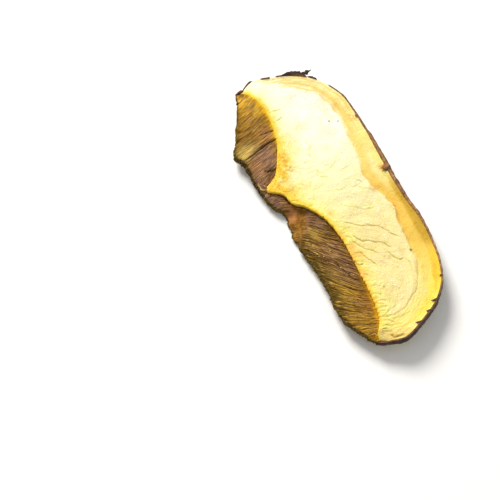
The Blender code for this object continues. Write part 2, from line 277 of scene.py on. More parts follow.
# Spots of colour, each with its middle and how far it reaches: dark specks, brown blotches, rusty
# stains, and peach and lemon yellow spots beside the tubes.
SPECKS = [((-23.7, 11.1), 0.26), ((-22.3, 13.4), 0.22), ((24.7, 9.0), 0.42), ((30.7, -4.0), 0.2)]
BLOTCHES = [
    ((-19.3, -7.5), 1.5), ((-16.0, -7.1), 1.3), ((-14.2, -10.2), 1.6), ((-12.6, -13.5), 1.4),
    ((-9.5, -10.5), 1.2),
]
STAINS = [((-21.0, 17.8), 1.2), ((-2.8, 16.1), 0.9), ((2.0, 10.9), 1.1), ((9.8, 12.3), 1.2)]
PEACHES = [
    ((18.2, -4.8), 1.8), ((24.1, -6.4), 1.5), ((10.2, -5.3), 0.9), ((15.5, -5.7), 1.1), ((3.0, -4.6), 1.0),
    ((14.6, -4.6), 0.8), ((42.8, -12.0), 1.0),
]
LEMONS = [
    ((-12.4, -13.8), 1.1), ((-10.7, -12.9), 0.9), ((-14.9, -10.2), 1.0), ((-17.6, -7.8), 1.0),
    ((-6.4, -11.7), 0.9), ((-5.0, -10.6), 0.9), ((-3.6, -9.5), 0.9), ((-2.2, -8.4), 0.8),
    ((-18.6, -6.2), 0.9), ((-13.4, -10.3), 1.4),
]
# Where along the slice some colours show, in stations: from, fully from, fully to, and to. The pairs
# after them only have a start, or an end where the second number is the lower one.
PALE_STRIP_SPAN = (8.0, 9.6, 10.8, 12.2)
BRINK_SPAN = (8.6, 10.4, 12.5, 14.5)
OLIVE_SPAN = (10.2, 12.0, 15.5, 17.2)
RUSTY_SPAN = (5.2, 7.0, 9.0, 10.5)
LIP_GROWS = (6.0, 9.5)
LEFT_LOBE_ENDS = (8.2, 7.6)
RIGHT_LOBE_STARTS = (7.8, 8.6)
PALE_OUTSIDE_ENDS = (11.8, 10.2)
MORE_RAGGED_STARTS = (12.0, 13.5)
FRINGE_STARTS = (12.2, 13.8)
SUNNY_STARTS = (13.6, 14.8)
SOFT_EDGE_STARTS = (14.0, 16.5)
RIM_STARTS = (14.8, 16.2)
PEACH_END_STARTS = (17.2, 18.6)
# The same for what starts or ends at a place in x, in millimetres.
ARCS_START_X = (23, 31)
CREAM_ENDS_X = (16, -6)
PALE_ENDS_X = (-2, -24)
STREAKS_END_X = (-13, -22)


def daylight(red, green, blue):
    """A colour as the eye sees it by daylight, from 0 to 255 each, as the light that it returns."""
    seen = np.array([red, green, blue]) / 255
    return (*np.where(seen > 0.04045, ((seen + 0.055) / 1.055) ** 2.4, seen / 12.92).tolist(), 1.0)


def smooth_step(low, high, value):
    """0 at low, 1 at high and a smooth change between them, which may run either way."""
    share = np.clip((value - low) / (high - low), 0, 1)
    return share * share * (3 - 2 * share)


def between(value, start, full, fading, end):
    """1 from full to fading, 0 up to start and from end on, and a smooth change between them."""
    return smooth_step(start, full, value) * smooth_step(end, fading, value)


def bell(distance, width):
    """1 at no distance, falling to nothing a few widths away."""
    return np.exp(-((distance / width) ** 2))


def as_points(first, second):
    """Points (x, y) from their two coordinates, each an array or one number for all."""
    return np.stack(np.broadcast_arrays(first, second), axis=-1)


def uneven(flat, size, seed):
    """Smooth uneven swells of about this size over points (x, y), between -1 and 1."""
    scaled = (flat / size).reshape(-1, 2).tolist()
    return np.array([noise.noise((x, y, seed)) for x, y in scaled]).reshape(flat.shape[:-1])


def swells(flat, rows):
    """Uneven swells added up, from rows that each have a height, a size and a seed."""
    return sum(height * uneven(flat, size, seed) for height, size, seed in rows)


def waved(flat, waves):
    """The points moved about in waves, which each have a reach, a size and two seeds."""
    moved = flat
    for reach, size, seeds in waves:
        moved = moved + reach * np.stack([uneven(flat, size, seed) for seed in seeds], axis=-1)
    return moved


def valleys(flat, size, seed, width=0.22):
    """Thin winding valleys of about this spacing: 1 along their bottom and 0 away from them."""
    return np.clip(1 - np.abs(uneven(flat, size, seed)) / width, 0, 1) ** 2


def pillows(flat, size, seed):
    """Swollen cells of about this size: 1 inside them and 0 along the fine lines between them."""
    scaled = (flat / size).reshape(-1, 2).tolist()
    gaps = np.array([noise.voronoi((x, y, seed))[0][:2] for x, y in scaled])
    return np.clip((gaps[:, 1] - gaps[:, 0]) / 0.3, 0, 1).reshape(flat.shape[:-1])


def turned(flat, degrees):
    """The points, turned so that what runs at this angle lies along their first coordinate."""
    c, s = math.cos(math.radians(degrees)), math.sin(math.radians(degrees))
    return flat @ np.array([[c, -s], [s, c]])


def curve_through(points, places):
    """Points at these places, counted in points, on a smooth curve through all of them."""
    points = np.array(points, float)
    last = len(points) - 1
    start = np.clip(np.asarray(places).astype(int), 0, last - 1)
    share = (places - start).reshape(-1, *[1] * (points.ndim - 1))
    before, a, b, after = (points[np.clip(start + i, 0, last)] for i in (-1, 0, 1, 2))
    middle = 2 * before - 5 * a + 4 * b - after
    end = 3 * a - before - 3 * b + after
    return 0.5 * (2 * a + (b - before) * share + middle * share**2 + end * share**3)


def cross_section(places):
    """The points on the pore edge, at the tubes' roots and on the skin at these places."""
    return curve_through(STATIONS, places).transpose(1, 0, 2)


def at_stations(values, places):
    """A value that is given at each station, at these places."""
    return np.interp(places, np.arange(LAST_STATION + 1), values)


def at_given(pairs, places):
    """A value that is given as pairs of a place and the value there, at these places."""
    return np.interp(places, *np.transpose(pairs))


def on_left_lobe(places):
    """1 where the flesh carries the left lobe of the tubes, and 0 past the notch."""
    return smooth_step(*LEFT_LOBE_ENDS, places)


def on_right_lobe(places):
    """1 where the flesh carries the right lobe of the tubes, and 0 before the notch."""
    return smooth_step(*RIGHT_LOBE_STARTS, places)


FINE_PLACES = np.linspace(0, LAST_STATION, 4000)
FINE_MOVES = np.linalg.norm(np.diff(curve_through(STATIONS, FINE_PLACES), axis=0), axis=2).mean(axis=1)
FINE_ALONG = np.concatenate([[0], np.cumsum(FINE_MOVES)])


def along_slice(place):
    """How far along the slice a place is, in millimetres from the left tip."""
    return np.interp(place, FINE_PLACES, FINE_ALONG)


def ring_places(first, last, step):
    """Places from the first to the last, in stations, about one step apart on the slice."""
    start, end = along_slice(first), along_slice(last)
    return np.interp(np.linspace(start, end, round((end - start) / step)), FINE_ALONG, FINE_PLACES)


def beside_line(flat, line):
    """How far points are from a smooth line, on which side (+ left), and how far along it, 0 to 1."""
    line = curve_through(line, np.linspace(0, len(line) - 1, 5 * (len(line) - 1) + 1))
    nearest = np.full(flat.shape[:-1], np.inf)
    side = np.zeros(nearest.shape)
    along = np.zeros(nearest.shape)
    for number, (a, b) in enumerate(zip(line, line[1:])):
        run = b - a
        share = np.clip((flat - a) @ run / (run @ run), 0, 1)
        gap = flat - a - share[..., None] * run
        distance = np.hypot(gap[..., 0], gap[..., 1])
        closer = distance < nearest
        nearest = np.where(closer, distance, nearest)
        side = np.where(closer, np.sign(run[0] * gap[..., 1] - run[1] * gap[..., 0]), side)
        along = np.where(closer, (number + share) / (len(line) - 1), along)
    return nearest, side, along


def left_of(flat, line):
    """How far points are to the left of a smooth line, and less than 0 to its right."""
    distance, side, _ = beside_line(flat, line)
    return distance * side


def away_from(flat, spot):
    """How far points are from one spot."""
    return np.hypot(flat[..., 0] - spot[0], flat[..., 1] - spot[1])


def near_spots(flat, spots):
    """How near points are to spots, 1 in the middle of each, added up where they overlap."""
    return sum(bell(away_from(flat, middle), size) for middle, size in spots)


def lift(flat):
    """How high the back face is off the ground: the dried slice's ends and sides have warped upwards."""
    warp = END_LIFT * (flat[..., 0] / HALF_LENGTH) ** 2 + SIDE_LIFT * (flat[..., 1] / HALF_WIDTH) ** 2
    return np.maximum(0.0, warp - FLAT_SPOT)


def tip_share(places):
    """The share of its full thickness that the slice has here: it is thinner at its two tips."""
    left = LEFT_TIP_SHARE + TIP_TAPER * places
    right = RIGHT_TIP_SHARE + TIP_TAPER * (LAST_STATION - places)
    return np.minimum(1.0, np.minimum(left, right))


def risen(flat, height):
    """Points of the slice from their place (x, y) and their height over the back face."""
    return np.concatenate([flat, (lift(flat) + height)[..., None]], axis=-1)


def lofted(name, strips, finish):
    """A closed piece from strips of points that go once round it, each with its marks for the finish."""
    points = np.concatenate([strip for strip, marks in strips], axis=1)
    rings, columns = points.shape[:2]
    index = np.arange(rings * columns).reshape(rings, columns)
    following = np.roll(index, -1, axis=1)
    quads = np.stack([index[:-1], index[1:], following[1:], following[:-1]], axis=-1).reshape(-1, 4)
    faces = quads.tolist() + [index[0].tolist(), index[-1][::-1].tolist()]
    mesh = bpy.data.meshes.new(name)
    mesh.from_pydata(((points.reshape(-1, 3) - (*MIDDLE, 0.0)) * MM).tolist(), [], faces)
    for mark in sorted({mark for strip, marks in strips for mark in marks}):
        values = [np.broadcast_to(marks.get(mark, 0.0), strip.shape[:2]) for strip, marks in strips]
        attribute = mesh.attributes.new(mark, "FLOAT", "POINT")
        attribute.data.foreach_set("value", np.concatenate(values, axis=1).astype(np.float32).ravel())
    mesh.shade_smooth()
    mesh.materials.append(finish)
    piece = bpy.data.objects.new(name, mesh)
    scene.collection.objects.link(piece)
    return piece


class Finish:
    """A finish built up in coats: each coat of colour covers what is under it where its mask says."""

    def __init__(self, name, colour, roughness, specular=0.25):
        self.material = bpy.data.materials.new(name)
        self.material.use_nodes = True
        self.nodes = self.material.node_tree.nodes
        self.links = self.material.node_tree.links
        self.shader = self.nodes["Principled BSDF"]
        self.shader.inputs["Roughness"].default_value = roughness
        self.shader.inputs["Specular IOR Level"].default_value = specular
        self.colour = daylight(*colour)
        self.under = None
        self.relief = None

    def node(self, kind, **settings):
        """A new node with its settings."""
        made = self.nodes.new(kind)
        for name, value in settings.items():
            setattr(made, name, value)
        return made

    def mark(self, name):
        """A mark that was left on the mesh, as a mask."""
        return self.node("ShaderNodeAttribute", attribute_name=name).outputs["Fac"]

    def noise_mask(self, place, scale, low, high, seed, detail=3.0):
        """Noise over a place, as a mask that is 0 under low and 1 over high."""
        mapping = self.node("ShaderNodeMapping")
        mapping.inputs["Location"].default_value = (seed, 2 * seed, 3 * seed)
        mapping.inputs["Scale"].default_value = scale
        self.links.new(place, mapping.inputs["Vector"])
        cloud = self.node("ShaderNodeTexNoise")
        cloud.inputs["Scale"].default_value = 1.0
        cloud.inputs["Detail"].default_value = detail
        self.links.new(mapping.outputs["Vector"], cloud.inputs["Vector"])
        limits = self.node("ShaderNodeMapRange")
        limits.inputs["From Min"].default_value = low
        limits.inputs["From Max"].default_value = high
        self.links.new(cloud.outputs["Fac"], limits.inputs["Value"])
        return limits.outputs["Result"]

    def grain(self, size, low, high, seed, detail=3.0):
        """Uneven grain of this size in millimetres, as a mask."""
        place = self.node("ShaderNodeTexCoord").outputs["Object"]
        return self.noise_mask(place, [1 / (size * MM)] * 3, low, high, seed, detail)

    def threads(self, per_tube, length, low, high, seed):
        """Streaks along the tubes, so many to a tube and this many millimetres long, as a mask."""
        place = self.node("ShaderNodeCombineXYZ")
        self.links.new(self.mark("tube_count"), place.inputs["X"])
        self.links.new(self.mark("from_root"), place.inputs["Y"])
        return self.noise_mask(place.outputs["Vector"], (per_tube, 1 / length, 1.0), low, high, seed)

    def mask(self, part):
        """A mask from the name of a mark, from the numbers of a grain, or one made before."""
        if isinstance(part, str):
            return self.mark(part)
        return self.grain(*part) if isinstance(part, tuple) else part

    def product(self, first, second):
        """Two masks multiplied, where the second may be a plain number."""
        made = self.node("ShaderNodeMath", operation="MULTIPLY", use_clamp=True)
        self.links.new(first, made.inputs[0])
        if isinstance(second, float):
            made.inputs[1].default_value = second
        else:
            self.links.new(second, made.inputs[1])
        return made.outputs["Value"]

    def coat(self, rows):
        """A coat for each row: its colour, its strength, and one mask or two that are multiplied."""
        for colour, strength, *parts in rows:
            masks = [self.mask(part) for part in parts]
            covered = self.product(*masks) if len(masks) == 2 else masks[0]
            covered = self.product(covered, strength) if strength != 1.0 else covered
            mix = self.node("ShaderNodeMix", data_type="RGBA")
            if self.under is None:
                mix.inputs[6].default_value = self.colour
            else:
                self.links.new(self.under, mix.inputs[6])
            mix.inputs[7].default_value = daylight(*colour)
            self.links.new(covered, mix.inputs["Factor"])
            self.under = mix.outputs[2]

    def emboss(self, mask, depth):
        """Fine relief too small for the mesh, this many millimetres deep where the mask is 1."""
        bump = self.node("ShaderNodeBump")
        bump.inputs["Distance"].default_value = depth * MM
        bump.inputs["Strength"].default_value = 1.0
        self.links.new(mask, bump.inputs["Height"])
        if self.relief is not None:
            self.links.new(self.relief, bump.inputs["Normal"])
        self.relief = bump.outputs["Normal"]

    def done(self):
        """The finished material, with its last coat and its relief on the shader."""
        self.links.new(self.under, self.shader.inputs["Base Color"])
        if self.relief is not None:
            self.links.new(self.relief, self.shader.inputs["Normal"])
        return self.material


def fan_creases():
    """Short creases at the tubes' roots, each leaning from the flesh's own direction."""
    draw = np.random.default_rng(7)
    fans = []
    for place in np.linspace(FAN_START, FAN_END, FAN_COUNT):
        _, edge, skin = curve_through(STATIONS, np.array([place]))[0]
        ahead = (skin - edge) / np.linalg.norm(skin - edge)
        beside = np.array([ahead[1], -ahead[0]])
        length = draw.uniform(*FAN_LENGTHS)
        lean = draw.uniform(*FAN_LEANS)
        start = edge + draw.uniform(0.1, 1.2) * ahead + draw.uniform(-0.4, 0.4) * beside
        middle = start + 0.5 * length * (ahead + 0.3 * lean * beside)
        end = start + length * (ahead + lean * beside)
        fans.append((draw.uniform(*FAN_DEPTHS), [start, middle, end]))
    return fans


def crease_relief(flat):
    """The height that the creases take from the flesh, a mark of painted shade along the creases, and a mark
    along fine veins.
    """
    wavy = waved(flat, CREASE_WAVES)
    height = np.zeros(flat.shape[:-1])
    mark = np.zeros(flat.shape[:-1])
    vein = np.zeros(flat.shape[:-1])
    broken = 0.7 + 0.6 * uneven(flat, 1.1, 49.0)
    for depth, line in CREASES + fan_creases():
        distance, side, along = beside_line(wavy, line)
        ends = between(along, 0, 0.15, 0.85, 1)
        step = np.where(side > 0, 0.35 * np.exp(-distance / 1.2), -0.25 * np.exp(-distance / 0.8))
        height += depth * ends * (step - bell(distance, CREASE_WIDTH))
        # How much painted shade each crease gets: less where it is only a fine vein.
        darkness = min(1.0, 5.5 * depth) * (1.0 if depth > VEIN_DEPTH else 0.45)
        mark = np.maximum(mark, ends * bell(distance, 0.8 * CREASE_WIDTH) * darkness)
        if depth < VEIN_DEPTH:
            vein = np.maximum(vein, ends * bell(distance, VEIN_WIDTH) * broken)
    for spot in VEIN_SPOTS:
        vein = np.maximum(vein, 0.8 * bell(away_from(wavy, spot), VEIN_SPOT_SIZE))
    return height, mark, vein


def wrinkle_relief(flat):
    """How deep the flesh is finely wrinkled: in all patches together, and in the deepest one here."""
    bent = waved(flat, WRINKLE_WAVES)
    depths = []
    for number, (middle, reach, angle, depth) in enumerate(WRINKLE_ZONES):
        lines = valleys(turned(bent, angle), (5.0, 1.3), 20.0 + number)
        cells = pillows(turned(bent, angle), (2.9, 1.25), 24.0 + number)
        near = bell(away_from(flat, middle), reach)
        depths.append(depth * near * np.maximum(lines, 0.75 * (1 - cells)))
    return sum(depths), np.max(depths, axis=0)


def streak_marks(rippled, layered, x, to_skin, inside):
    """The golden streaks that run along the band on the left."""
    layers = smooth_step(0.0, 0.3, uneven(layered, (11.0, 0.6), 37.0)) * smooth_step(*STREAKS_END_X, x)
    streaks = 0.65 * layers * smooth_step(0.3, 0.9, to_skin) * smooth_step(-1.2, 0.2, inside)
    torn = np.clip(0.8 + 0.6 * uneven(layered, (3.0, 0.4), 39.0), 0, 1)
    for line in STREAKS:
        distance, _, run = beside_line(rippled, line)
        streaks = np.maximum(streaks, between(run, 0, 0.25, 0.7, 1) * bell(distance, STREAK_WIDTH) * torn)
    return streaks


def flesh_relief(flat, places, to_skin, to_tubes):
    """The height of the cut face over the back of the slice, with the marks for its finish."""
    x = flat[..., 0]
    along = np.broadcast_to(along_slice(places), to_skin.shape)
    rippled = waved(flat, BAND_WAVES)
    inside = left_of(rippled, BAND_EDGE)
    softer = smooth_step(*SOFT_EDGE_STARTS, places)
    band = smooth_step(-0.6 - softer, 1.0 + 3.0 * softer, inside)
    sunk = at_given(BAND_SHARES, places)
    height = FLESH_THICKNESS - BAND_DEPTH * sunk * smooth_step(-0.5, 0.9, inside)
    height += RIDGE_HEIGHT * sunk * bell(inside + 0.5, np.where(inside < 0, RIDGE_WIDTH, 0.5 * RIDGE_WIDTH))
    height += LIP_HEIGHT * bell(to_skin, LIP_WIDTH) * (0.15 + 0.85 * smooth_step(*LIP_GROWS, places))
    height += swells(flat, SWELLS) + swells(flat, FINE_SWELLS)
    crease_height, crease, vein = crease_relief(flat)
    wrinkles, deepest = wrinkle_relief(flat)
    layered = as_points(along, to_skin) + 0.5 * uneven(flat, 3.0, 2.2)[..., None]
    arcs = valleys(layered, (12.0, 1.2), 31.0) * smooth_step(*ARCS_START_X, x)
    arcs = arcs * smooth_step(0.8, 2.5, to_tubes)
    streaks = streak_marks(rippled, layered, x, to_skin, inside)
    height += crease_height - wrinkles - ARC_DEPTH * arcs - STREAK_DEPTH * streaks
    # Painted shade also darkens the deepest wrinkles and the low arcs.
    crease = np.maximum(crease, np.maximum(4.0 * deepest, 0.3 * arcs))
    # The tubes' ridges run on a little way into the flesh on the left lobe.
    ridges, _ = tube_ridges(flat, along, -to_tubes, places, LEFT_PITCH)
    height += on_left_lobe(places) * bell(to_tubes, 0.8) * (0.5 * ridges - 0.1)
    # The band is palest in a strip along its middle, and its inner brink is darker orange in places.
    outer_share = np.clip(inside / np.maximum(inside + to_skin, 0.5), 0, 1)
    gold = band * at_stations(BAND_GOLD, places)
    gold *= 1 - 0.85 * smooth_step(0.3, 0.7, outer_share) * smooth_step(*PALE_OUTSIDE_ENDS, places)
    pale_strip = bell(outer_share - 0.55, 0.2) * between(places, *PALE_STRIP_SPAN)
    brink = smooth_step(-0.25, 0.1, inside) * np.exp(-np.maximum(inside, 0) / 1.2)
    brink *= between(places, *BRINK_SPAN) * smooth_step(-0.35, 0.25, uneven(flat, 2.2, 47.0))
    olive = smooth_step(-0.6, 0.5, left_of(rippled, OLIVE_EDGE)) * between(places, *OLIVE_SPAN)
    sunny = smooth_step(*SUNNY_STARTS, places)
    end_streak = bell(beside_line(rippled, END_STREAK)[0], END_STREAK_WIDTH)
    end_streak *= np.clip(0.7 + uneven(flat, 1.2, 48.0), 0, 1)
    # The glow from the tubes' roots has a frayed edge, and on the right lobe an orange fringe.
    frayed = np.maximum(to_tubes + 0.9 * uneven(flat, 1.4, 45.0) * smooth_step(0, 1.2, to_tubes), 0)
    glow = bell(frayed, np.interp(places, GLOW_STATIONS, GLOW_REACH))
    halo_reach = np.interp(places, GLOW_STATIONS, HALO_REACH)
    fringe_reach = 0.45 + 0.8 * np.clip(uneven(as_points(along, 0.3 * to_tubes), 0.7, 46.0), -0.4, 0.7)
    marks = {
        "band": band * at_given(BAND_COLOUR, places) * (1 - 0.5 * pale_strip),
        "gold": gold,
        "brink": brink,
        "streak": streaks,
        "rim": smooth_step(-0.4, 0.5, left_of(rippled, RIM_EDGE)) * smooth_step(*RIM_STARTS, places),
        "olive": np.maximum(olive * (1 - sunny), end_streak),
        "sunny": olive * sunny,
        "crease": crease,
        "vein": vein,
        "speck": near_spots(flat, SPECKS),
        "blotch": near_spots(rippled, BLOTCHES),
        "stain": near_spots(rippled, STAINS),
        "peach": near_spots(rippled, PEACHES),
        "end": smooth_step(*PEACH_END_STARTS, places) * smooth_step(0.1, 0.7, to_tubes),
        "glow": np.maximum(glow, 0.9 * near_spots(rippled, LEMONS)),
        "halo": np.exp(-((frayed / halo_reach) ** 1.4)),
        "fringe": bell(frayed, fringe_reach) * smooth_step(*FRINGE_STARTS, places),
        "rusty": bell(frayed, 4.5) * between(places, *RUSTY_SPAN),
        "cream": smooth_step(*CREAM_ENDS_X, x),
        "pale": smooth_step(*PALE_ENDS_X, x),
    }
    return height, {name: np.clip(mark, 0, 1) for name, mark in marks.items()}


# The tubes' ridges are worked out here, because they run on into the flesh. A lobe's tubes are this
# far apart, and they lean along the slice by TUBE_LEAN for each millimetre from their roots.
LEFT_PITCH = 0.54
RIGHT_PITCH = 0.7
TUBE_LEAN = [-0.22] * 8 + [-0.1, 0.1, 0.5, 0.85, 0.9, 0.85, 0.7, 0.55, 0.38, 0.2, 0.1, 0.05, 0.0]
TUBE_SWELLS = [(0.5, 4.0, 2.7), (0.12, 1.3, 4.4)]
RIDGE_STAND = 0.32
# Tubes rise and sink in bundles, wear along their length and are split into finer threads. These are
# the sizes, in tubes along the slice and millimetres from their roots.
BUNDLE_SIZE = (3.1, 6.0)
WORN_SIZE = (1.0, 2.6)
THREAD_SIZE = (1 / 2.7, 2.0)
# Three numbers for each tube, for how it stands, its shade and how it was cut. A tube whose last
# number is over OPEN_FROM was cut open.
TUBE_DRAW = np.random.default_rng(11).random((3, 512))
OPEN_FROM = 0.78


def drawn(count):
    """The three numbers of the tube at this count of tubes along the slice."""
    return TUBE_DRAW[:, np.floor(count).astype(int) % TUBE_DRAW.shape[1]]


def tube_ridges(flat, along, from_root, places, pitch):
    """How high the ridges of the tubes stand, with marks for each tube's tone and painted highlight, and for
    painted shade in its grooves.
    """
    count = (along + at_stations(TUBE_LEAN, places) * from_root) / pitch + swells(flat, TUBE_SWELLS)
    stand, shade, cut = drawn(count)
    from_middle = np.abs(2 * (count - np.floor(count)) - 1)
    rounded = 1 - from_middle ** 2.4
    open_tube = cut > OPEN_FROM
    profile = np.where(open_tube, 0.7 * from_middle ** 1.4 + 0.1, rounded * (0.45 + 0.55 * stand))
    tube_place = as_points(count, from_root)
    bundle = uneven(tube_place, BUNDLE_SIZE, 51.0)
    worn = uneven(tube_place, WORN_SIZE, 52.0)
    threads = uneven(tube_place, THREAD_SIZE, 53.0)
    profile = profile * (1 + 0.4 * worn) + 0.35 * bundle + 0.3 * threads
    # The grooves between the tubes get painted shade, less where they are worn or the tube is paler.
    grooves = np.where(open_tube, bell(0.5 * from_middle, 0.25), (1 - rounded) ** 0.8)
    marks = {
        # Each tube's own tone, and a painted highlight where its bundles and threads rise.
        "shade": np.clip(0.8 * shade + 0.35 * bundle + 0.3 * threads + 0.1, 0, 1),
        "groove": np.clip(grooves * (0.95 - 0.7 * worn - 0.4 * shade), 0, 1),
        "tube_count": count,
        "from_root": from_root,
    }
    return RIDGE_STAND * profile, marks


places = ring_places(0, LAST_STATION, FLESH_STEP)
_, edge, skin = cross_section(places)
place_column = places[:, None]
flesh_length = np.linalg.norm(skin - edge, axis=1)[:, None]
outward = (skin - edge) / flesh_length
thick = tip_share(places)[:, None]
along_edge = as_points(along_slice(places), 0.0)
ragged = swells(along_edge, RAGGED_SWELLS) * on_right_lobe(places)
ragged += swells(along_edge, MORE_RAGGED_SWELLS) * smooth_step(*MORE_RAGGED_STARTS, places)
ragged_edge = edge - ragged[:, None] * outward


def flesh_strip(shares):
    """Columns of the flesh at these shares of the way from the tubes' roots to the skin."""
    flat = ragged_edge[:, None] + shares[None, :, None] * (skin - ragged_edge)[:, None]
    return flat, (1 - shares) * flesh_length, shares * flesh_length


top_flat, to_skin, to_tubes = flesh_strip(np.linspace(0, 1, FLESH_COLUMNS))
top_height, top_marks = flesh_relief(top_flat, place_column, to_skin, to_tubes)
top_height -= EDGE_ROUNDING * bell(to_tubes, 0.22) * on_right_lobe(place_column)
top_height *= thick

back_flat, back_to_skin, back_to_tubes = flesh_strip(np.linspace(1, 0, FLESH_BACK_COLUMNS))
back_wrinkles = valleys(turned(back_flat, 35), (6.0, 1.6), 75.0)
back_height = np.maximum(0.0, 0.12 + swells(back_flat, BACK_SWELLS) - 0.12 * back_wrinkles)
back_height *= smooth_step(0, 0.4, lift(back_flat))
back_marks = {
    "band": smooth_step(5.5, 4.5, back_to_skin + uneven(back_flat, 3.0, 77.0)),
    "glow": 0.8 * bell(back_to_tubes, 1.2),
    "halo": 0.8 * np.exp(-back_to_tubes / 3.5),
    # Painted shade in the back's wrinkles.
    "crease": 0.5 * back_wrinkles,
    "cream": 0.7,
}

skin_wall = np.stack([risen(skin, share * top_height[:, -1]) for share in (0.85, 0.6, 0.35, 0.12)], axis=1)
root_shares = np.array([0.1, 0.35, 0.6, 0.85, 0.96])
undercut = EDGE_UNDERCUT * np.sin(math.pi * root_shares) * on_right_lobe(place_column)
root_flat = ragged_edge[:, None] + undercut[..., None] * outward[:, None]
root_wall = risen(root_flat, root_shares * top_height[:, :1])

flesh = Finish("dried_flesh", (229, 212, 150), 0.62)
flesh.shader.inputs["Subsurface Weight"].default_value = 0.25
flesh.shader.inputs["Subsurface Scale"].default_value = 0.8 * MM
flesh.shader.inputs["Subsurface Radius"].default_value = (1.0, 0.75, 0.3)
flesh.coat([
    ((229, 225, 178), 0.9, "cream"),
    ((238, 239, 217), 0.95, "pale"),
    ((219, 203, 118), 0.4, (4.0, 0.5, 0.75, 1.0)),
    ((231, 227, 196), 0.45, (2.2, 0.52, 0.78, 2.0)),
    ((234, 222, 104), 0.85, "halo"),
    ((226, 190, 22), 0.95, "glow"),
    ((208, 140, 14), 0.8, "fringe"),
    ((236, 208, 64), 0.7, "rusty"),
    ((206, 150, 40), 0.6, "glow", (0.8, 0.52, 0.66, 3.0)),
    ((234, 192, 34), 0.85, "rusty", (1.4, 0.42, 0.58, 10.0)),
    ((216, 142, 24), 0.8, "rusty", (0.6, 0.52, 0.64, 11.0)),
    ((150, 108, 24), 0.7, "rusty", (0.4, 0.6, 0.68, 12.0)),
    ((230, 178, 88), 0.9, "peach"),
    ((228, 212, 108), 0.8, "band"),
    ((220, 180, 66), 0.9, "gold"),
    ((210, 166, 54), 0.6, "gold", (2.4, 0.48, 0.7, 4.0)),
    ((212, 152, 58), 0.75, "brink"),
    ((222, 182, 80), 0.9, "streak"),
    ((232, 208, 76), 0.85, "rim"),
    ((228, 184, 24), 0.85, "sunny"),
    ((255, 224, 138), 0.9, "end"),
    ((184, 146, 20), 0.9, "olive"),
    ((190, 128, 38), 0.85, "blotch", (0.9, 0.42, 0.6, 5.0)),
    ((204, 138, 44), 0.85, "stain", (0.8, 0.38, 0.58, 6.0)),
    ((200, 206, 92), 0.7, "vein"),
    # Painted shade along the creases, wrinkles and arcs, warm in tone.
    ((172, 146, 44), 0.85, "crease"),
    ((60, 44, 26), 1.0, "speck"),
    ((206, 184, 112), 0.35, (0.35, 0.58, 0.74, 7.0, 4.0)),
])
flesh.emboss(flesh.grain(0.45, 0.25, 0.75, 8.0, detail=5.0), 0.1)
flesh.emboss(flesh.grain(0.16, 0.3, 0.7, 9.0, detail=2.0), 0.03)

cap_flesh = lofted(
    "cap_flesh",
    [
        (risen(top_flat, top_height), top_marks),
        (skin_wall, {"band": 0.8, "stain": 0.4}),
        (risen(back_flat, back_height), back_marks),
        (root_wall, {"glow": 0.9, "stain": 0.35}),
    ],
    flesh.done(),
)
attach(cap_flesh, "root")
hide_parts("bolete_slice")

# The tube layer. Under the cap the mushroom carries thousands of fine tubes side by side. The cut
# runs along them, so they show as ridges and open channels from their roots to the pore mouths.
TUBE_THICKNESS = 3.6
TUBE_STEP = 0.1
TUBE_COLUMNS = 58
TUBE_BACK_COLUMNS = 16
PORE_SIDE_FALL = 0.6
# How far the roots reach under the flesh's edge, how unevenly the tubes end at the pores, and how far
# the two lobes overlap where the notch parts them.
ROOT_REACH = 0.35
END_SPREAD = 0.3
END_SWELLS = [(0.5, 2.8, 85.0)]
NOTCH_STATION = 8.0
LOBE_OVERLAP = 0.08
# From this station on the cut tubes lie lower than the flesh, and lowest near their roots.
TROUGH_STATION = 6.7
TROUGH_DEPTH = 1.3
TROUGH_DEPTH_FAR = 0.7
# Cracks between the tubes: how deep and how wide each is, and the points that it passes.
TUBE_CRACKS = [
    (0.5, 0.2, [(-26.2, -5.2), (-26.4, -9.0), (-25.4, -13.6), (-24.3, -18.4)]),
    (0.3, 0.15, [(-29.0, -4.2), (-29.6, -7.9), (-29.9, -9.6)]),
    (0.4, 0.28, [(-18.3, -10.7), (-18.0, -12.3), (-19.3, -14.3)]),
    (0.25, 0.13, [(5.9, -11.1), (8.2, -9.7), (10.0, -7.7), (12.3, -6.0)]),
    (0.3, 0.15, [(16.1, -11.4), (20.1, -10.4), (23.1, -9.7), (25.3, -8.2)]),
    (0.3, 0.15, [(23.9, -13.5), (26.2, -11.6), (28.8, -8.8)]),
]
# A thin purple seam crosses the cut where two bundles of tubes meet.
TUBE_SEAM = [(-1.7, -9.4), (-0.3, -10.4), (2.5, -12.1), (4.3, -13.6)]
SEAM_WIDTH = 0.35
CRACK_WAVES = [(0.18, 1.6, (81.0, 83.0))]
# Beside the notch the cut bulges in a roll. Past it a smooth patch slopes down to the pores, where the
# knife ran across the tubes, and its colour ends a little before its slope.
ROLL_STATION = 9.4
ROLL_LENGTH = 0.8
ROLL_HEIGHT = 0.7
PATCH_START = 10.8
PATCH_END = 13.2
PATCH_SLOPE = 0.28
PATCH_COLOUR_END = 12.7
PATCH_COLOUR_LENGTH = 1.7
PATCH_SWELLS = [(0.22, 1.2, 55.0)]
# The wall of tube ends on the straight edge bulges, is wrinkled and has hollows where the pores are.
PORE_BULGE = 0.5
PORE_WRINKLES = [(0.25, 1.0, 87.0), (0.1, 0.4, 89.0)]
PORE_DEPTH = 0.2
PORE_WALL_SHARES = np.linspace(0.04, 0.97, 30)
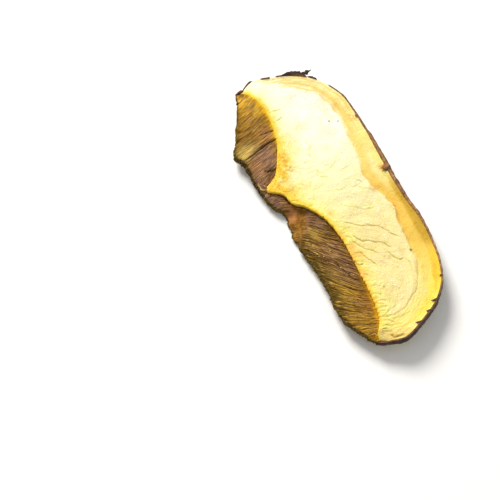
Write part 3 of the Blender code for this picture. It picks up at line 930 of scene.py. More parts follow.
# Patches of colour on the cut tubes, each a middle, how far it reaches and its strength.
TINT_WAVES = [(0.6, 1.5, (111.0, 113.0))]
TUBE_TINTS = {
    "amber": [
        ((-42.5, -7.0), 5.0, 1.0), ((-38.0, -6.5), 3.5, 0.7), ((-34.0, -7.5), 4.0, 0.4),
        ((-32.0, -13.0), 3.5, 0.4), ((-28.5, -9.5), 2.5, 0.5), ((40.5, -14.0), 3.5, 0.3),
        ((34.0, -12.0), 4.0, 0.1),
    ],
    "gold": [
        ((-41.6, -6.3), 3.8, 0.8), ((-37.5, -4.8), 2.8, 0.8), ((-36.0, -10.0), 4.0, 0.3),
        ((28.3, -15.4), 4.5, 0.25), ((36.0, -16.0), 5.0, 0.28), ((1.4, -14.4), 2.2, 0.4),
        ((5.8, -11.0), 2.6, 0.5), ((41.5, -14.0), 4.0, 0.4), ((25.5, -13.2), 2.6, 0.4),
    ],
    "straw": [
        ((-26.6, -16.8), 2.6, 1.0), ((-27.4, -13.6), 2.2, 0.7), ((-19.5, -16.3), 1.6, 0.4),
        ((9.9, -14.8), 1.0, 0.5), ((5.3, -11.4), 1.8, 0.45), ((20.0, -14.0), 2.2, 0.35),
    ],
    "purple": [
        ((-22.7, -11.0), 4.2, 1.0), ((-18.4, -14.6), 4.0, 1.0), ((-14.5, -16.6), 2.5, 0.8),
        ((-29.5, -6.8), 2.0, 0.45), ((-11.2, -16.7), 3.0, 1.0), ((-7.5, -15.6), 2.6, 0.8),
        ((-0.8, -9.6), 1.7, 0.9), ((3.0, -8.2), 2.6, 0.7), ((12.8, -10.0), 3.5, 0.45),
        ((18.0, -9.5), 3.0, 0.35), ((22.0, -10.0), 3.0, 0.4),
    ],
    "rosy": [
        ((-29.2, -7.2), 2.2, 0.9), ((-20.5, -15.5), 2.0, 0.6), ((-4.1, -13.7), 1.6, 1.0),
        ((33.0, -10.8), 2.5, 0.4), ((-2.5, -14.3), 1.4, 0.8),
    ],
    "dusk": [
        ((-17.9, -12.0), 1.2, 1.0), ((-46.0, -6.6), 1.1, 0.8), ((-25.5, -6.3), 1.0, 0.6),
        ((-9.0, -16.2), 1.2, 0.7), ((-13.1, -17.3), 0.9, 1.0), ((5.8, -7.8), 2.0, 0.5),
        ((18.5, -8.0), 2.5, 0.5), ((28.1, -9.6), 3.0, 0.4), ((-45.0, -6.7), 1.4, 1.0),
        ((15.3, -13.4), 0.8, 0.9), ((30.9, -11.8), 0.8, 0.8), ((24.8, -8.4), 1.0, 0.7),
    ],
}
# Where along the slice some marks show, in stations: from, fully from, fully to, and to. A painted shadow
# darkens the roots under the flesh, a painted dark line of shade runs along the pores, the pore side shows
# most on the right lobe, and painted shade darkens the pore wall on the left lobe.
OVERHANG_SHADOW_SPAN = (5.8, 6.2, 11.0, 13.2)
PORE_EDGE_SHADE_SPAN = (4.7, 5.0, 6.2, 6.6)
PORE_SIDE_SPAN = (11, 12.6, 15, 17.5)
SHADED_WALL_SPAN = (4.4, 4.9, 8.0, 8.6)


def tube_layer_height(flat, across, places, length):
    """The height of the cut tubes, across from 0 at the pores to 1, with marks for cracks and patch."""
    height = TUBE_THICKNESS + (FLESH_THICKNESS - TUBE_THICKNESS) * smooth_step(0.6, 1.0, across)
    trough = TROUGH_DEPTH_FAR + (TROUGH_DEPTH - TROUGH_DEPTH_FAR) * smooth_step(0.45, 0.85, across)
    height = height - trough * smooth_step(TROUGH_STATION - 0.5, TROUGH_STATION + 0.5, places)
    height -= PORE_SIDE_FALL * (1 - across) ** 2
    height += ROLL_HEIGHT * bell(places - ROLL_STATION, ROLL_LENGTH) * np.sin(math.pi * across)
    slope_edge = np.clip((PATCH_END - places) / (PATCH_END - PATCH_START), 0, 1)
    on_slope = smooth_step(PATCH_START - 0.6, PATCH_START, places)
    height -= PATCH_SLOPE * length * np.maximum(0.0, slope_edge - across) * on_slope
    winding = waved(flat, CRACK_WAVES)
    crack = np.zeros(height.shape)
    for depth, width, line in TUBE_CRACKS:
        distance, _, run = beside_line(winding, line)
        parted = smooth_step(-0.45, 0.15, uneven(flat, 2.2, 85.0) + 0.8 * depth)
        inside = bell(distance, width * (0.6 + 0.6 * parted)) * parted * between(run, 0, 0.12, 0.8, 1)
        height -= depth * inside
        crack = np.maximum(crack, inside * min(1.0, 0.4 + 2.0 * depth))
    colour_edge = np.clip((PATCH_COLOUR_END - places) / PATCH_COLOUR_LENGTH, 0, 1)
    patch = smooth_step(-0.03, 0.05, colour_edge - across)
    patch = patch * smooth_step(PATCH_START - 0.3, PATCH_START, places)
    return height, crack, patch


def tube_tints(flat):
    """The marks for the patches of colour on the cut tubes."""
    torn = waved(flat, TINT_WAVES)
    tints = {"seam": bell(beside_line(torn, TUBE_SEAM)[0], SEAM_WIDTH)}
    for tint, spots in TUBE_TINTS.items():
        patches = [strength * bell(away_from(torn, spot), size) for spot, size, strength in spots]
        tints[tint] = np.clip(sum(patches), 0, 1)
    tints["gold"] *= 1 - tints["purple"]
    return tints


tubes = Finish("cut_tubes", (100, 66, 16), 0.75, specular=0.12)
tubes.coat([
    # Each tube's own tone, paler as a painted highlight on its raised bundles and threads.
    ((170, 120, 36), 0.85, "shade"),
    ((248, 184, 64), 0.8, "amber"),
    ((255, 206, 68), 0.9, "gold"),
    ((252, 220, 114), 0.9, "straw"),
    ((186, 144, 122), 0.85, "purple"),
    ((70, 42, 34), 0.8, "dusk"),
    ((84, 70, 10), 0.9, "pore_side"),
    ((124, 82, 20), 0.9, "patch"),
    ((164, 116, 34), 0.75, "patch", (1.7, 0.46, 0.64, 1.0)),
    ((192, 146, 56), 0.6, "patch", (0.8, 0.56, 0.7, 9.0)),
    ((104, 56, 24), 0.75, "patch", (1.0, 0.52, 0.68, 5.0)),
    ((218, 150, 92), 0.85, "rosy"),
    ((134, 98, 82), 0.85, "seam"),
    ((226, 176, 74), 0.78, tubes.threads(1.4, 2.6, 0.54, 0.65, 2.0), "rough"),
    ((70, 42, 14), 0.65, tubes.threads(1.1, 3.0, 0.51, 0.64, 3.0), "rough"),
    ((46, 26, 10), 0.85, tubes.threads(2.2, 1.6, 0.55, 0.66, 4.0), "rough"),
    # Painted shade in the grooves between the tubes.
    ((48, 28, 10), 0.9, "groove"),
    ((152, 108, 14), 0.8, "root_olive"),
    ((232, 178, 30), 0.85, "root_glow"),
    # Dark in the cracks, and painted shadow and shade at the roots, along the pores and on the pore wall.
    ((34, 19, 10), 0.85, "crack"),
    # Painted shade in the pits of the pore wall, with some olive mottling in them.
    ((158, 132, 58), 0.35, "pit", (3.0, 0.4, 0.6, 8.0)),
    ((44, 32, 12), 0.6, "pit"),
])
tubes.emboss(tubes.threads(3.0, 1.4, 0.3, 0.7, 6.0), 0.12)
tubes.emboss(tubes.grain(0.18, 0.3, 0.7, 7.0), 0.05)
tubes_finish = tubes.done()


def tube_layer(name, first, last, pitch):
    """One lobe of the tube layer, from one place to another along the slice."""
    places = ring_places(first, last, TUBE_STEP)
    place_column = places[:, None]
    pore, edge, _ = cross_section(places)
    length = np.linalg.norm(pore - edge, axis=1)[:, None]
    downward = (pore - edge) / length
    thick = tip_share(places)[:, None]
    along = along_slice(places)
    # Each tube ends where it likes at the pores.
    ends = END_SPREAD * (drawn(along / pitch)[0] - 0.5) + swells(as_points(along, 0.0), END_SWELLS)
    pore = pore + (ends * smooth_step(0.0, 4.0, length[:, 0]))[:, None] * downward
    root = edge - ROOT_REACH * downward
    shares = np.linspace(0, 1, TUBE_COLUMNS)
    flat = pore[:, None] + shares[None, :, None] * (root - pore)[:, None]
    across = np.clip(np.linalg.norm(flat - pore[:, None], axis=2) / length, 0, 1)
    from_root = (1 - across) * length
    height, crack, patch = tube_layer_height(flat, across, place_column, length)
    ridges, marks = tube_ridges(flat, along[:, None], from_root, place_column, pitch)
    ridges = ridges * (1 - patch) + swells(flat, PATCH_SWELLS) * patch
    left_lobe = on_left_lobe(place_column)
    faded = 1 - 0.5 * left_lobe * smooth_step(0.8, 0.0, from_root)
    height = thick * (height + swells(flat, SWELLS) + faded * (ridges - 0.15) - 0.08)
    top = risen(flat, height)
    marks.update(tube_tints(flat))
    # The roots glow where they enter the flesh, each tube to its own depth.
    _, scalloped, glowed = drawn(marks["tube_count"])
    glow_reach = 0.35 + 0.7 * left_lobe + 0.2 * smooth_step(15.0, 18.0, place_column)
    glow_reach = glow_reach * (0.5 + glowed)
    glowing = np.maximum(left_lobe * smooth_step(6.9, 5.2, place_column), smooth_step(14, 17, place_column))
    glowing = (0.2 + 0.8 * glowing) * (0.2 + 0.8 * smooth_step(0.6, 2.2, place_column))
    # A painted shadow under the flesh's overhang at the roots, and a painted dark line of shade along the
    # pores.
    overhang_shadow = bell(from_root, 0.16 + 0.3 * scalloped) * between(place_column, *OVERHANG_SHADOW_SPAN)
    pore_edge_shade = bell(across * length, 0.25) * between(place_column, *PORE_EDGE_SHADE_SPAN)
    pore_width = 0.1 + 0.45 * between(place_column, *PORE_SIDE_SPAN)
    pore_side = smooth_step(pore_width, 0.0, across)
    smoothed = 0.8 * marks["straw"] + 0.35 * marks["purple"] + 0.25 * marks["gold"] + 0.35 * marks["amber"]
    marks.update({
        "crack": np.maximum(crack, np.maximum(overhang_shadow, pore_edge_shade)),
        "patch": patch,
        "pore_side": pore_side * (0.4 + 0.6 * smooth_step(11.5, 13.5, place_column)),
        "root_glow": glowing * bell(from_root, glow_reach),
        "root_olive": np.exp(-from_root / 1.5) * smooth_step(14.0, 15.5, place_column),
        "rough": np.clip(1 - smoothed - 0.9 * patch, 0.05, 1),
    })
    # On the smooth patch the painted shade in the grooves and the tubes' tones fade.
    for streaky in ("groove", "shade"):
        marks[streaky] = marks[streaky] * (1 - 0.7 * patch)
    wall_height = PORE_WALL_SHARES * height[:, :1]
    wall_curve = np.sin(math.pi * PORE_WALL_SHARES)
    wall_place = as_points(along[:, None] / 1.6, PORE_WALL_SHARES * 3.0)
    # The pits where the pores are sink into the wall, and the finish paints shade in them.
    pits = pillows(as_points(along[:, None], wall_height), 0.62, 88.0)
    bulge = PORE_BULGE * wall_curve + swells(wall_place, PORE_WRINKLES)
    bulge = bulge - PORE_DEPTH * pits * wall_curve ** 0.4
    wall = risen(pore[:, None] + (thick * bulge)[..., None] * downward[:, None], wall_height)
    # Painted shade darkens the pore wall on the left lobe.
    shadowed = 0.75 * between(place_column, *SHADED_WALL_SPAN)
    wall_marks = {"pore_side": 1.0, "pit": pits, "crack": shadowed}
    back_shares = np.linspace(0, 1, TUBE_BACK_COLUMNS)[::-1]
    back_flat = pore[:, None] + back_shares[None, :, None] * (root - pore)[:, None]
    back_from_root = (1 - back_shares) * length
    back_ridges, back_marks = tube_ridges(back_flat, along[:, None], back_from_root, place_column, pitch)
    back_height = thick * np.clip(0.3 - 0.6 * back_ridges, 0.0, 0.4) * smooth_step(0, 0.3, lift(back_flat))
    back_marks.update({"gold": 0.3, "purple": 0.3})
    piece = lofted(
        name,
        [(top, marks), (risen(back_flat, back_height), back_marks), (wall, wall_marks)],
        tubes_finish,
    )
    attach(piece, "root")
    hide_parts("bolete_slice")
    return places, top, wall


left_lobe_cut = tube_layer("tubes_left", 0.0, NOTCH_STATION + LOBE_OVERLAP, LEFT_PITCH)
right_lobe_cut = tube_layer("tubes_right", NOTCH_STATION - LOBE_OVERLAP, LAST_STATION, RIGHT_PITCH)

# The tube fibres. Where the knife tore the tubes' walls, fine threads of them stand up from the cut.
# They are dry and brittle, paler than the tubes, and lie along them.
FIBRE_COUNT = 150
FIBRE_POINTS = 9
FIBRE_SIDES = 5
FIBRE_LENGTHS = (1.2, 5.0)
FIBRE_RISES = (0.02, 0.2)
FIBRE_RADII = (0.04, 0.09)
# Few of them stand on the smooth patch between these stations.
FEW_FIBRES_SPAN = (10.2, 10.6, 12.0, 12.6)
# Pale crumbs lie on the right lobe's tubes.
CRUMBS = [
    (6.4, -14.5), (8.8, -14.1), (11.0, -14.7), (11.8, -14.5), (12.6, -14.3), (13.4, -13.3), (14.9, -11.0),
    (18.7, -10.7), (12.5, -10.6), (22.6, -8.9),
]
CRUMB_SIZE = 0.14
CRUMB_LENGTHS = (0.3, 0.8)


class Growth:
    """A tree of geometry nodes, built one node at a time and then run on a piece's guide mesh."""

    def __init__(self, name, **numbers):
        self.tree = bpy.data.node_groups.new(name, "GeometryNodeTree")
        self.tree.interface.new_socket("Geometry", in_out="INPUT", socket_type="NodeSocketGeometry")
        self.tree.interface.new_socket("Geometry", in_out="OUTPUT", socket_type="NodeSocketGeometry")
        self.numbers = numbers
        for label in numbers:
            self.tree.interface.new_socket(label, in_out="INPUT", socket_type="NodeSocketFloat")
        self.entry = self.tree.nodes.new("NodeGroupInput").outputs

    def node(self, kind, inputs, **settings):
        """A node with its settings, and its inputs each set to a number or linked to a socket."""
        made = self.tree.nodes.new("GeometryNode" + kind if not kind.startswith("Function") else kind)
        for name, value in settings.items():
            setattr(made, name, value)
        for name, value in inputs.items():
            if isinstance(value, bpy.types.NodeSocket):
                self.tree.links.new(value, made.inputs[name])
            else:
                made.inputs[name].default_value = value
        return made.outputs

    def grow(self, name, points, edges, faces, marks, finish):
        """The finished piece that grows from a guide mesh, realized and with its material set."""
        last = self.tree.nodes[-1].outputs[0]
        real = self.node("RealizeInstances", {"Geometry": last})
        smooth = self.node("SetShadeSmooth", {"Geometry": real[0]})
        finished = self.node("SetMaterial", {"Geometry": smooth[0], "Material": finish})
        self.tree.links.new(finished[0], self.tree.nodes.new("NodeGroupOutput").inputs[0])
        mesh = bpy.data.meshes.new(name)
        mesh.from_pydata(((points - (*MIDDLE, 0.0)) * MM).tolist(), edges, faces)
        for mark, values in marks.items():
            mesh.attributes.new(mark, "FLOAT", "POINT").data.foreach_set("value", values.astype(np.float32))
        piece = bpy.data.objects.new(name, mesh)
        scene.collection.objects.link(piece)
        modifier = piece.modifiers.new("growth", "NODES")
        modifier.node_group = self.tree
        for item in self.tree.interface.items_tree:
            if item.name in self.numbers:
                modifier[item.identifier] = float(self.numbers[item.name])
        graph = bpy.context.evaluated_depsgraph_get()
        grown = bpy.data.meshes.new_from_object(piece.evaluated_get(graph), depsgraph=graph)
        piece.modifiers.clear()
        piece.data = grown
        return piece


def on_cut_face(top, rows, columns):
    """Points of a cut face, between its rows and its columns."""
    low = rows.astype(int)
    left = columns.astype(int)
    across = (columns - left)[:, None]
    near = top[low, left] + across * (top[low, left + 1] - top[low, left])
    far = top[low + 1, left] + across * (top[low + 1, left + 1] - top[low + 1, left])
    return near + (rows - low)[:, None] * (far - near)


def fibre_guides(draw, cut):
    """Polylines that lie along the tubes of one lobe, a little over its cut face."""
    places, top, _ = cut
    pore, edge, _ = cross_section(places)
    length = np.linalg.norm(pore - edge, axis=1)
    along = along_slice(places)
    every_row = np.arange(len(places))
    guides = []
    while len(guides) < FIBRE_COUNT:
        row = draw.integers(6, len(places) - 6)
        # Where the tubes are short or smooth, a fibre is more often left out.
        smooth_there = between(places[row], *FEW_FIBRES_SPAN)
        if draw.random() > (1 - 0.9 * smooth_there) * length[row] / 10:
            continue
        reach = min(draw.uniform(*FIBRE_LENGTHS), 0.7 * length[row])
        root = draw.uniform(0.1, max(0.2, length[row] - reach - 0.3))
        from_root = np.linspace(root, root + reach, FIBRE_POINTS)
        lean = at_stations(TUBE_LEAN, places[row])
        astray = draw.uniform(-0.05, 0.05) * np.sin(np.linspace(0, 3, FIBRE_POINTS))
        rows = np.interp(along[row] - (lean + astray) * (from_root - root), along, every_row)
        rows = np.clip(rows, 1, len(places) - 2)
        share = np.clip(1 - from_root / np.interp(rows, every_row, length), 0.02, 0.98)
        guide = on_cut_face(top, rows, share * (top.shape[1] - 1))
        guide[:, 2] += draw.uniform(*FIBRE_RISES) * np.sin(np.linspace(0.2, math.pi, FIBRE_POINTS)) - 0.03
        guides.append(guide)
    return guides


def crumb_guides(draw, cut):
    """Short bent polylines on the cut face, at the places of the crumbs."""
    flat = cut[1].reshape(-1, 3)
    guides = []
    for crumb in CRUMBS:
        middle = flat[np.argmin(np.linalg.norm(flat[:, :2] - crumb, axis=1))] + (0.0, 0.0, 0.08)
        angle = draw.uniform(0, 2 * math.pi)
        along = np.linspace(-0.5, 0.5, FIBRE_POINTS)[:, None] * draw.uniform(*CRUMB_LENGTHS)
        bend = draw.uniform(-0.1, 0.1, (FIBRE_POINTS, 3))
        guides.append(middle + along * np.array([math.cos(angle), math.sin(angle), 0.1]) + 0.5 * bend)
    return guides


draw = np.random.default_rng(23)
guides = fibre_guides(draw, left_lobe_cut) + fibre_guides(draw, right_lobe_cut)
fibre_count = len(guides)
guides += crumb_guides(draw, right_lobe_cut)
points = np.array(guides)
index = np.arange(len(guides) * FIBRE_POINTS).reshape(-1, FIBRE_POINTS)
edges = np.stack([index[:, :-1], index[:, 1:]], axis=-1).reshape(-1, 2).tolist()
taper = np.sin(np.linspace(0.25, math.pi - 0.15, FIBRE_POINTS))
radius = draw.uniform(*FIBRE_RADII, (len(guides), 1)) * taper * MM
radius[fibre_count:] = CRUMB_SIZE * draw.uniform(0.6, 1.3, (len(CRUMBS), FIBRE_POINTS)) * taper * MM
shade = draw.random((len(guides), 1)) + 0 * taper
crumb = (np.arange(len(guides)) >= fibre_count)[:, None] + 0 * taper

fibre_finish = Finish("tube_fibre", (138, 96, 42), 0.6)
fibre_finish.coat([
    ((218, 178, 104), 1.0, "shade"),
    ((112, 72, 32), 0.7, (1.2, 0.52, 0.68, 1.0)),
    ((212, 188, 136), 0.9, "crumb"),
])
fibre_finish.emboss(fibre_finish.grain(0.2, 0.3, 0.7, 2.0), 0.03)

threading = Growth("tube_fibre_growth", Thickness=1.0)
curve = threading.node("MeshToCurve", {"Mesh": threading.entry["Geometry"]})
thickness = threading.node("InputNamedAttribute", {"Name": "radius"}, data_type="FLOAT")
section = {"Resolution": FIBRE_SIDES, "Radius": threading.entry["Thickness"]}
profile = threading.node("CurvePrimitiveCircle", section)
threading.node(
    "CurveToMesh",
    {"Curve": curve[0], "Profile Curve": profile[0], "Scale": thickness[0], "Fill Caps": True},
)
tube_fibres = threading.grow(
    "tube_fibres",
    points.reshape(-1, 3),
    edges,
    [],
    {"radius": radius.ravel(), "shade": shade.ravel(), "crumb": crumb.ravel()},
    fibre_finish.done(),
)
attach(tube_fibres, "root")
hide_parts("bolete_slice")

# The pore mouths. Each tube opens on the slice's straight edge with a small mouth: a thin olive rim
# round its hollow, dried and shrunk a little unevenly, crowded side by side with its neighbours. The
# hollow is a flat disc inside the rim with painted shade on it.
MOUTH_SPACING = 0.54
MOUTH_SIZE = 0.22
MOUTH_RIM = 0.065
MOUTH_SIDES = 8
MOUTH_SCALES = ((0.7, 0.7, 0.8), (1.25, 1.25, 1.3))
MOUTH_SEED = 5

mouth_finish = Finish("pore_rims", (126, 104, 42), 0.7)
mouth_finish.coat([
    ((168, 140, 70), 0.7, (2.4, 0.45, 0.65, 1.0)),
    ((90, 66, 28), 0.7, (0.9, 0.5, 0.68, 2.0)),
    # Painted shade on the flat disc that stands for each pore's hollow.
    ((36, 24, 12), 0.95, "hollow_shade"),
])
mouth_finish.emboss(mouth_finish.grain(0.15, 0.3, 0.7, 3.0), 0.02)

pores = Growth("pore_mouth_growth", Spacing=MOUTH_SPACING * MM, Size=MOUTH_SIZE * MM)
scattered = pores.node(
    "DistributePointsOnFaces",
    {
        "Mesh": pores.entry["Geometry"],
        "Distance Min": pores.entry["Spacing"],
        "Density Max": 2.0 / (MOUTH_SPACING * MM) ** 2,
        "Seed": MOUTH_SEED,
    },
    distribute_method="POISSON",
)
rim_line = pores.node("CurvePrimitiveCircle", {"Resolution": MOUTH_SIDES, "Radius": pores.entry["Size"]})
rim_section = pores.node("CurvePrimitiveCircle", {"Resolution": 4, "Radius": MOUTH_RIM * MM})
rim = pores.node("CurveToMesh", {"Curve": rim_line[0], "Profile Curve": rim_section[0], "Scale": 1.0})
# A flat disc inside each rim, marked to carry painted shade for the pore's hollow.
disc_size = {"Vertices": MOUTH_SIDES, "Radius": pores.entry["Size"]}
disc = pores.node("MeshCircle", disc_size, fill_type="TRIANGLE_FAN")
hollow_shade_mark = {"Geometry": disc[0], "Name": "hollow_shade", "Value": 1.0}
hollow_shade = pores.node("StoreNamedAttribute", hollow_shade_mark, data_type="FLOAT")
mouth = pores.node("JoinGeometry", {"Geometry": rim[0]})
pores.tree.links.new(hollow_shade[0], mouth[0].node.inputs["Geometry"])
scale = pores.node(
    "FunctionNodeRandomValue",
    {0: MOUTH_SCALES[0], 1: MOUTH_SCALES[1], "Seed": MOUTH_SEED},
    data_type="FLOAT_VECTOR",
)
pores.node("InstanceOnPoints", {
    "Points": scattered["Points"],
    "Instance": mouth[0],
    "Rotation": scattered["Rotation"],
    "Scale": scale[0],
})
points = []
faces = []
for _, _, wall in (left_lobe_cut, right_lobe_cut):
    rows, columns = wall.shape[:2]
    index = len(points) + np.arange(rows * columns).reshape(rows, columns)
    points += wall.reshape(-1, 3).tolist()
    quads = np.stack([index[:-1, :-1], index[:-1, 1:], index[1:, 1:], index[1:, :-1]], axis=-1)
    faces += quads.reshape(-1, 4).tolist()
pore_mouths = pores.grow("pore_mouths", np.array(points), [], faces, {}, mouth_finish.done())
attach(pore_mouths, "root")
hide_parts("bolete_slice")

# The cap skin. It is the thin dark cuticle of the cap, dried to a papery sheet on the curved edge of
# the slice. Its cut rim curls outwards, and where it tore it is folded in over the flesh.
SKIN_STEP = 0.16
SKIN_SHEET = 0.3
SKIN_BULGE = 0.35
SKIN_WALL_SHARES = 1 - 0.97 * np.linspace(0.03, 1, 24) ** 1.15
TIP_STEPS = 16
TIP_BULGE = 0.25
TIP_RIM = 0.35
PORE_SIDE_SHARE = 0.72
TURN_SPREAD = 5
# The rim's width at the stations, and how high it reaches there as a share of the flesh's edge.
RIM_WIDTHS = [
    0.4, 0.35, 0.25, 0.2, 0.16, 0.22, 0.32, 0.5, 0.9, 1.1, 1.2, 1.1, 0.9, 0.7, 0.5, 0.42, 0.38, 0.38, 0.4,
    0.4, 0.4,
]
RIM_REACH = [
    (0.0, 1.0), (1.0, 1.02), (1.2, 0.8), (1.6, 0.8), (1.75, 1.02), (2.15, 1.02), (2.26, 0.8), (2.36, 0.8),
    (2.44, 0.99), (2.65, 1.0), (2.9, 0.9), (3.6, 0.9), (3.75, 1.02), (4.0, 1.02), (4.1, 0.8), (4.45, 0.8),
    (4.7, 1.0), (20.0, 1.0),
]
RIM_WIDTH_SWELLS = [(0.32, 2.2, 91.0)]
RIM_HEIGHT_SWELLS = [(0.12, 1.6, 93.0)]
# The rim from the flesh's side to its outer edge: how far out, how high over its edge, how dark.
RIM_SECTION = [(0.12, 0.02, 0.6), (0.28, 0.04, 0.1), (0.65, 0.06, 0.2), (0.88, 0.06, 0.9), (1.0, 0.0, 1.0)]
# How dark the rim is along the slice, where it is torn and at its tips.
RIM_SHADE = [(4.6, 1.0), (5.2, 0.7), (7.2, 0.7), (8.0, 0.0), (15.6, 0.0), (16.8, 1.0)]
PUCKERS = [(1.0, (1.3, 3.0), 95.0), (0.55, (0.6, 1.1), 97.0)]
PUCKER_HEIGHT = 0.2
WRINKLE_DEPTH = 0.12
# Torn tags that lie on the flesh: their place, their width, how far they reach in, how dark they are.
TAGS = [
    ((-20.9, 18.4), 1.1, 1.3, 0.4),
    ((-2.0, 17.3), 1.1, 2.0, 0.1),
    ((-1.1, 17.4), 0.55, 1.0, 0.9),
    ((36.2, 11.6), 0.45, 0.8, 1.0),
    ((41.9, 6.1), 0.5, 1.7, 1.0),
    ((43.9, 2.6), 0.5, 1.3, 1.0),
    ((45.6, -1.6), 0.55, 1.6, 1.0),
]
TAG_SHARES = (1.0, 0.75, 0.35)
TAG_THICKNESS = 0.12
TAG_SHADE = 0.35
# How rusty a pale tag makes the rim, across the tag and then the rim.
TAG_RUST = np.array([1.0, 1.0, 0.8, 0.5, 0.2, 0.0, 0.0, 0.0])


def unit(vectors):
    """The directions of these vectors, each one long."""
    return vectors / np.linalg.norm(vectors, axis=-1, keepdims=True)


def round_tip(skin_end, pore_end, away):
    """The skin's line from the skin's end round the tip to the pores' end."""
    share = np.linspace(0, 1, TIP_STEPS + 1)[1:]
    bulge = TIP_BULGE * np.sin(math.pi * share)[:, None] * np.array(away)
    return skin_end + share[:, None] * (pore_end - skin_end) + bulge, share


def skin_height(places, edge, skin):
    """How high the cut face of the flesh is along the skin."""
    length = np.linalg.norm(skin - edge, axis=1)[:, None]
    relief, _ = flesh_relief(skin[:, None], places[:, None], 0 * length, length)
    return relief[:, 0] * tip_share(places)


places = ring_places(0.0, LAST_STATION, SKIN_STEP)
pore, edge, skin = cross_section(places)
edge_height = skin_height(places, edge, skin)
rim_width = at_stations(RIM_WIDTHS, places)
tag = np.zeros(len(places))
tag_dark = np.zeros(len(places))
tag_rust = np.zeros(len(places))
toward = np.pad(unit(edge - skin), ((TIP_STEPS, TIP_STEPS), (0, 0)))
for middle, width, depth, dark in TAGS:
    near = np.clip(1 - np.linalg.norm(skin - middle, axis=1) / width, 0, 1)
    tag = np.maximum(tag, depth * near * (1 + 0.4 * uneven(skin, 0.5, 92.0)))
    tag_dark = np.maximum(tag_dark, dark * np.clip(3 * near, 0, 1))
    tag_rust = np.maximum(tag_rust, (1 - dark) * np.clip(4 * near, 0, 1))

# The same along the whole line: round the left tip, along the slice, round the right tip.
sides = []
for end, away in ((0, (-1.0, 0.0)), (-1, (0.84, -0.54))):
    line, share = round_tip(skin[end], pore[end], away)
    height = edge_height[end] * (1 + (PORE_SIDE_SHARE - 1) * share)
    width = TIP_RIM + (rim_width[end] - TIP_RIM) * (1 - share)
    sides.append((line, height, width * smooth_step(1.05, 0.8, share)))
(left_line, left_height, left_width), (right_line, right_height, right_width) = sides
skin = np.concatenate([left_line[::-1], skin, right_line])
edge_height = np.concatenate([left_height[::-1], at_given(RIM_REACH, places) * edge_height, right_height])
rim_width = np.concatenate([left_width[::-1], rim_width, right_width])
# The outward direction is square to the line, and turns smoothly at its corners.
ahead = unit(np.gradient(skin, axis=0))
spread = np.arange(-TURN_SPREAD, TURN_SPREAD + 1)
following = np.clip(np.arange(len(skin))[:, None] + spread, 0, len(skin) - 1)
outward = unit(np.stack([-ahead[following, 1].mean(axis=1), ahead[following, 0].mean(axis=1)], axis=-1))
tag, tag_dark, tag_rust = (np.pad(values, TIP_STEPS)[:, None] for values in (tag, tag_dark, tag_rust))
tip_dark = np.pad(at_given(RIM_SHADE, places), TIP_STEPS, mode="edge")[:, None]
along = np.concatenate([[0], np.cumsum(np.linalg.norm(np.diff(skin, axis=0), axis=1))])
line = as_points(along, 0.0)
rim_width = (rim_width * (1 + swells(line, RIM_WIDTH_SWELLS)))[:, None]
rim_height = (edge_height + 0.12 + swells(line, RIM_HEIGHT_SWELLS))[:, None]

# The outer wall: bulged, puckered and finely wrinkled across, from the rim down to the back edge. Its
# wrinkles get painted shade and its puckers a painted highlight.
shares = SKIN_WALL_SHARES
wall_place = as_points(along[:, None], 4.2 * shares)
pucker = swells(wall_place, PUCKERS)
wrinkled = valleys(wall_place + 0.3 * uneven(wall_place, 1.4, 99.0)[..., None], (0.8, 4.0), 98.0, 0.3)
flare = smooth_step(0.6, 1.0, shares) ** 1.5
bulge = SKIN_SHEET + SKIN_BULGE * np.sin(math.pi * shares) + PUCKER_HEIGHT * pucker - WRINKLE_DEPTH * wrinkled
bulge = bulge * (1 - flare) + flare * rim_width
outer = skin[:, None] + bulge[..., None] * outward[:, None]
outer_wall = risen(outer, shares * rim_height)
# The rim, from the torn tags that lie on the flesh over its level cut to its outer edge.
rim_strip = []
for share in TAG_SHARES:
    above = rim_height[:, 0] + TAG_THICKNESS * smooth_step(0.1, 0.6, tag[:, 0]) * (1 - 0.5 * share)
    rim_strip.append(risen(skin - 0.12 * outward + share * tag * toward, above))
for share, rise, dark in RIM_SECTION:
    rim_strip.append(risen(skin + share * rim_width * outward, rim_height[:, 0] + rise))
rim_strip = np.stack(rim_strip, axis=1)
rim_dark = np.array([TAG_SHADE] * len(TAG_SHARES) + [dark for share, rise, dark in RIM_SECTION])
rim_dark = rim_dark * (1 - tag_dark) + tag_dark
rim_dark = np.maximum(rim_dark, 0.75 * tip_dark)
rim_rust = tag_rust * TAG_RUST * (1 - tag_dark)
rim_dark = rim_dark * (1 - 0.85 * rim_rust)
inside = skin - 0.35 * outward
inside_wall = risen(np.stack([inside] * 3, axis=1), np.array([0.05, 0.4, 0.8]) * rim_height)

cuticle = Finish("cap_cuticle", (60, 36, 30), 0.55)
cuticle.coat([
    ((108, 72, 56), 0.7, (1.8, 0.48, 0.72, 1.0)),
    ((168, 116, 60), 0.9, "cut"),
    ((206, 156, 94), 0.75, "cut", (0.9, 0.52, 0.66, 4.0)),
    ((84, 50, 30), 0.6, "cut", (1.3, 0.52, 0.62, 5.0)),
    ((178, 104, 30), 0.95, "rust"),
    # A painted highlight on the raised puckers of the outer wall.
    ((124, 92, 76), 0.75, "raised"),
    ((34, 20, 18), 0.6, (0.7, 0.5, 0.68, 2.0, 4.0)),
    # Dark rim, tags and tips, and painted shade in the outer wall's wrinkles.
    ((30, 17, 13), 0.85, "dark"),
])
cuticle.emboss(cuticle.grain(0.3, 0.25, 0.75, 3.0, detail=4.0), 0.12)
cuticle_finish = cuticle.done()

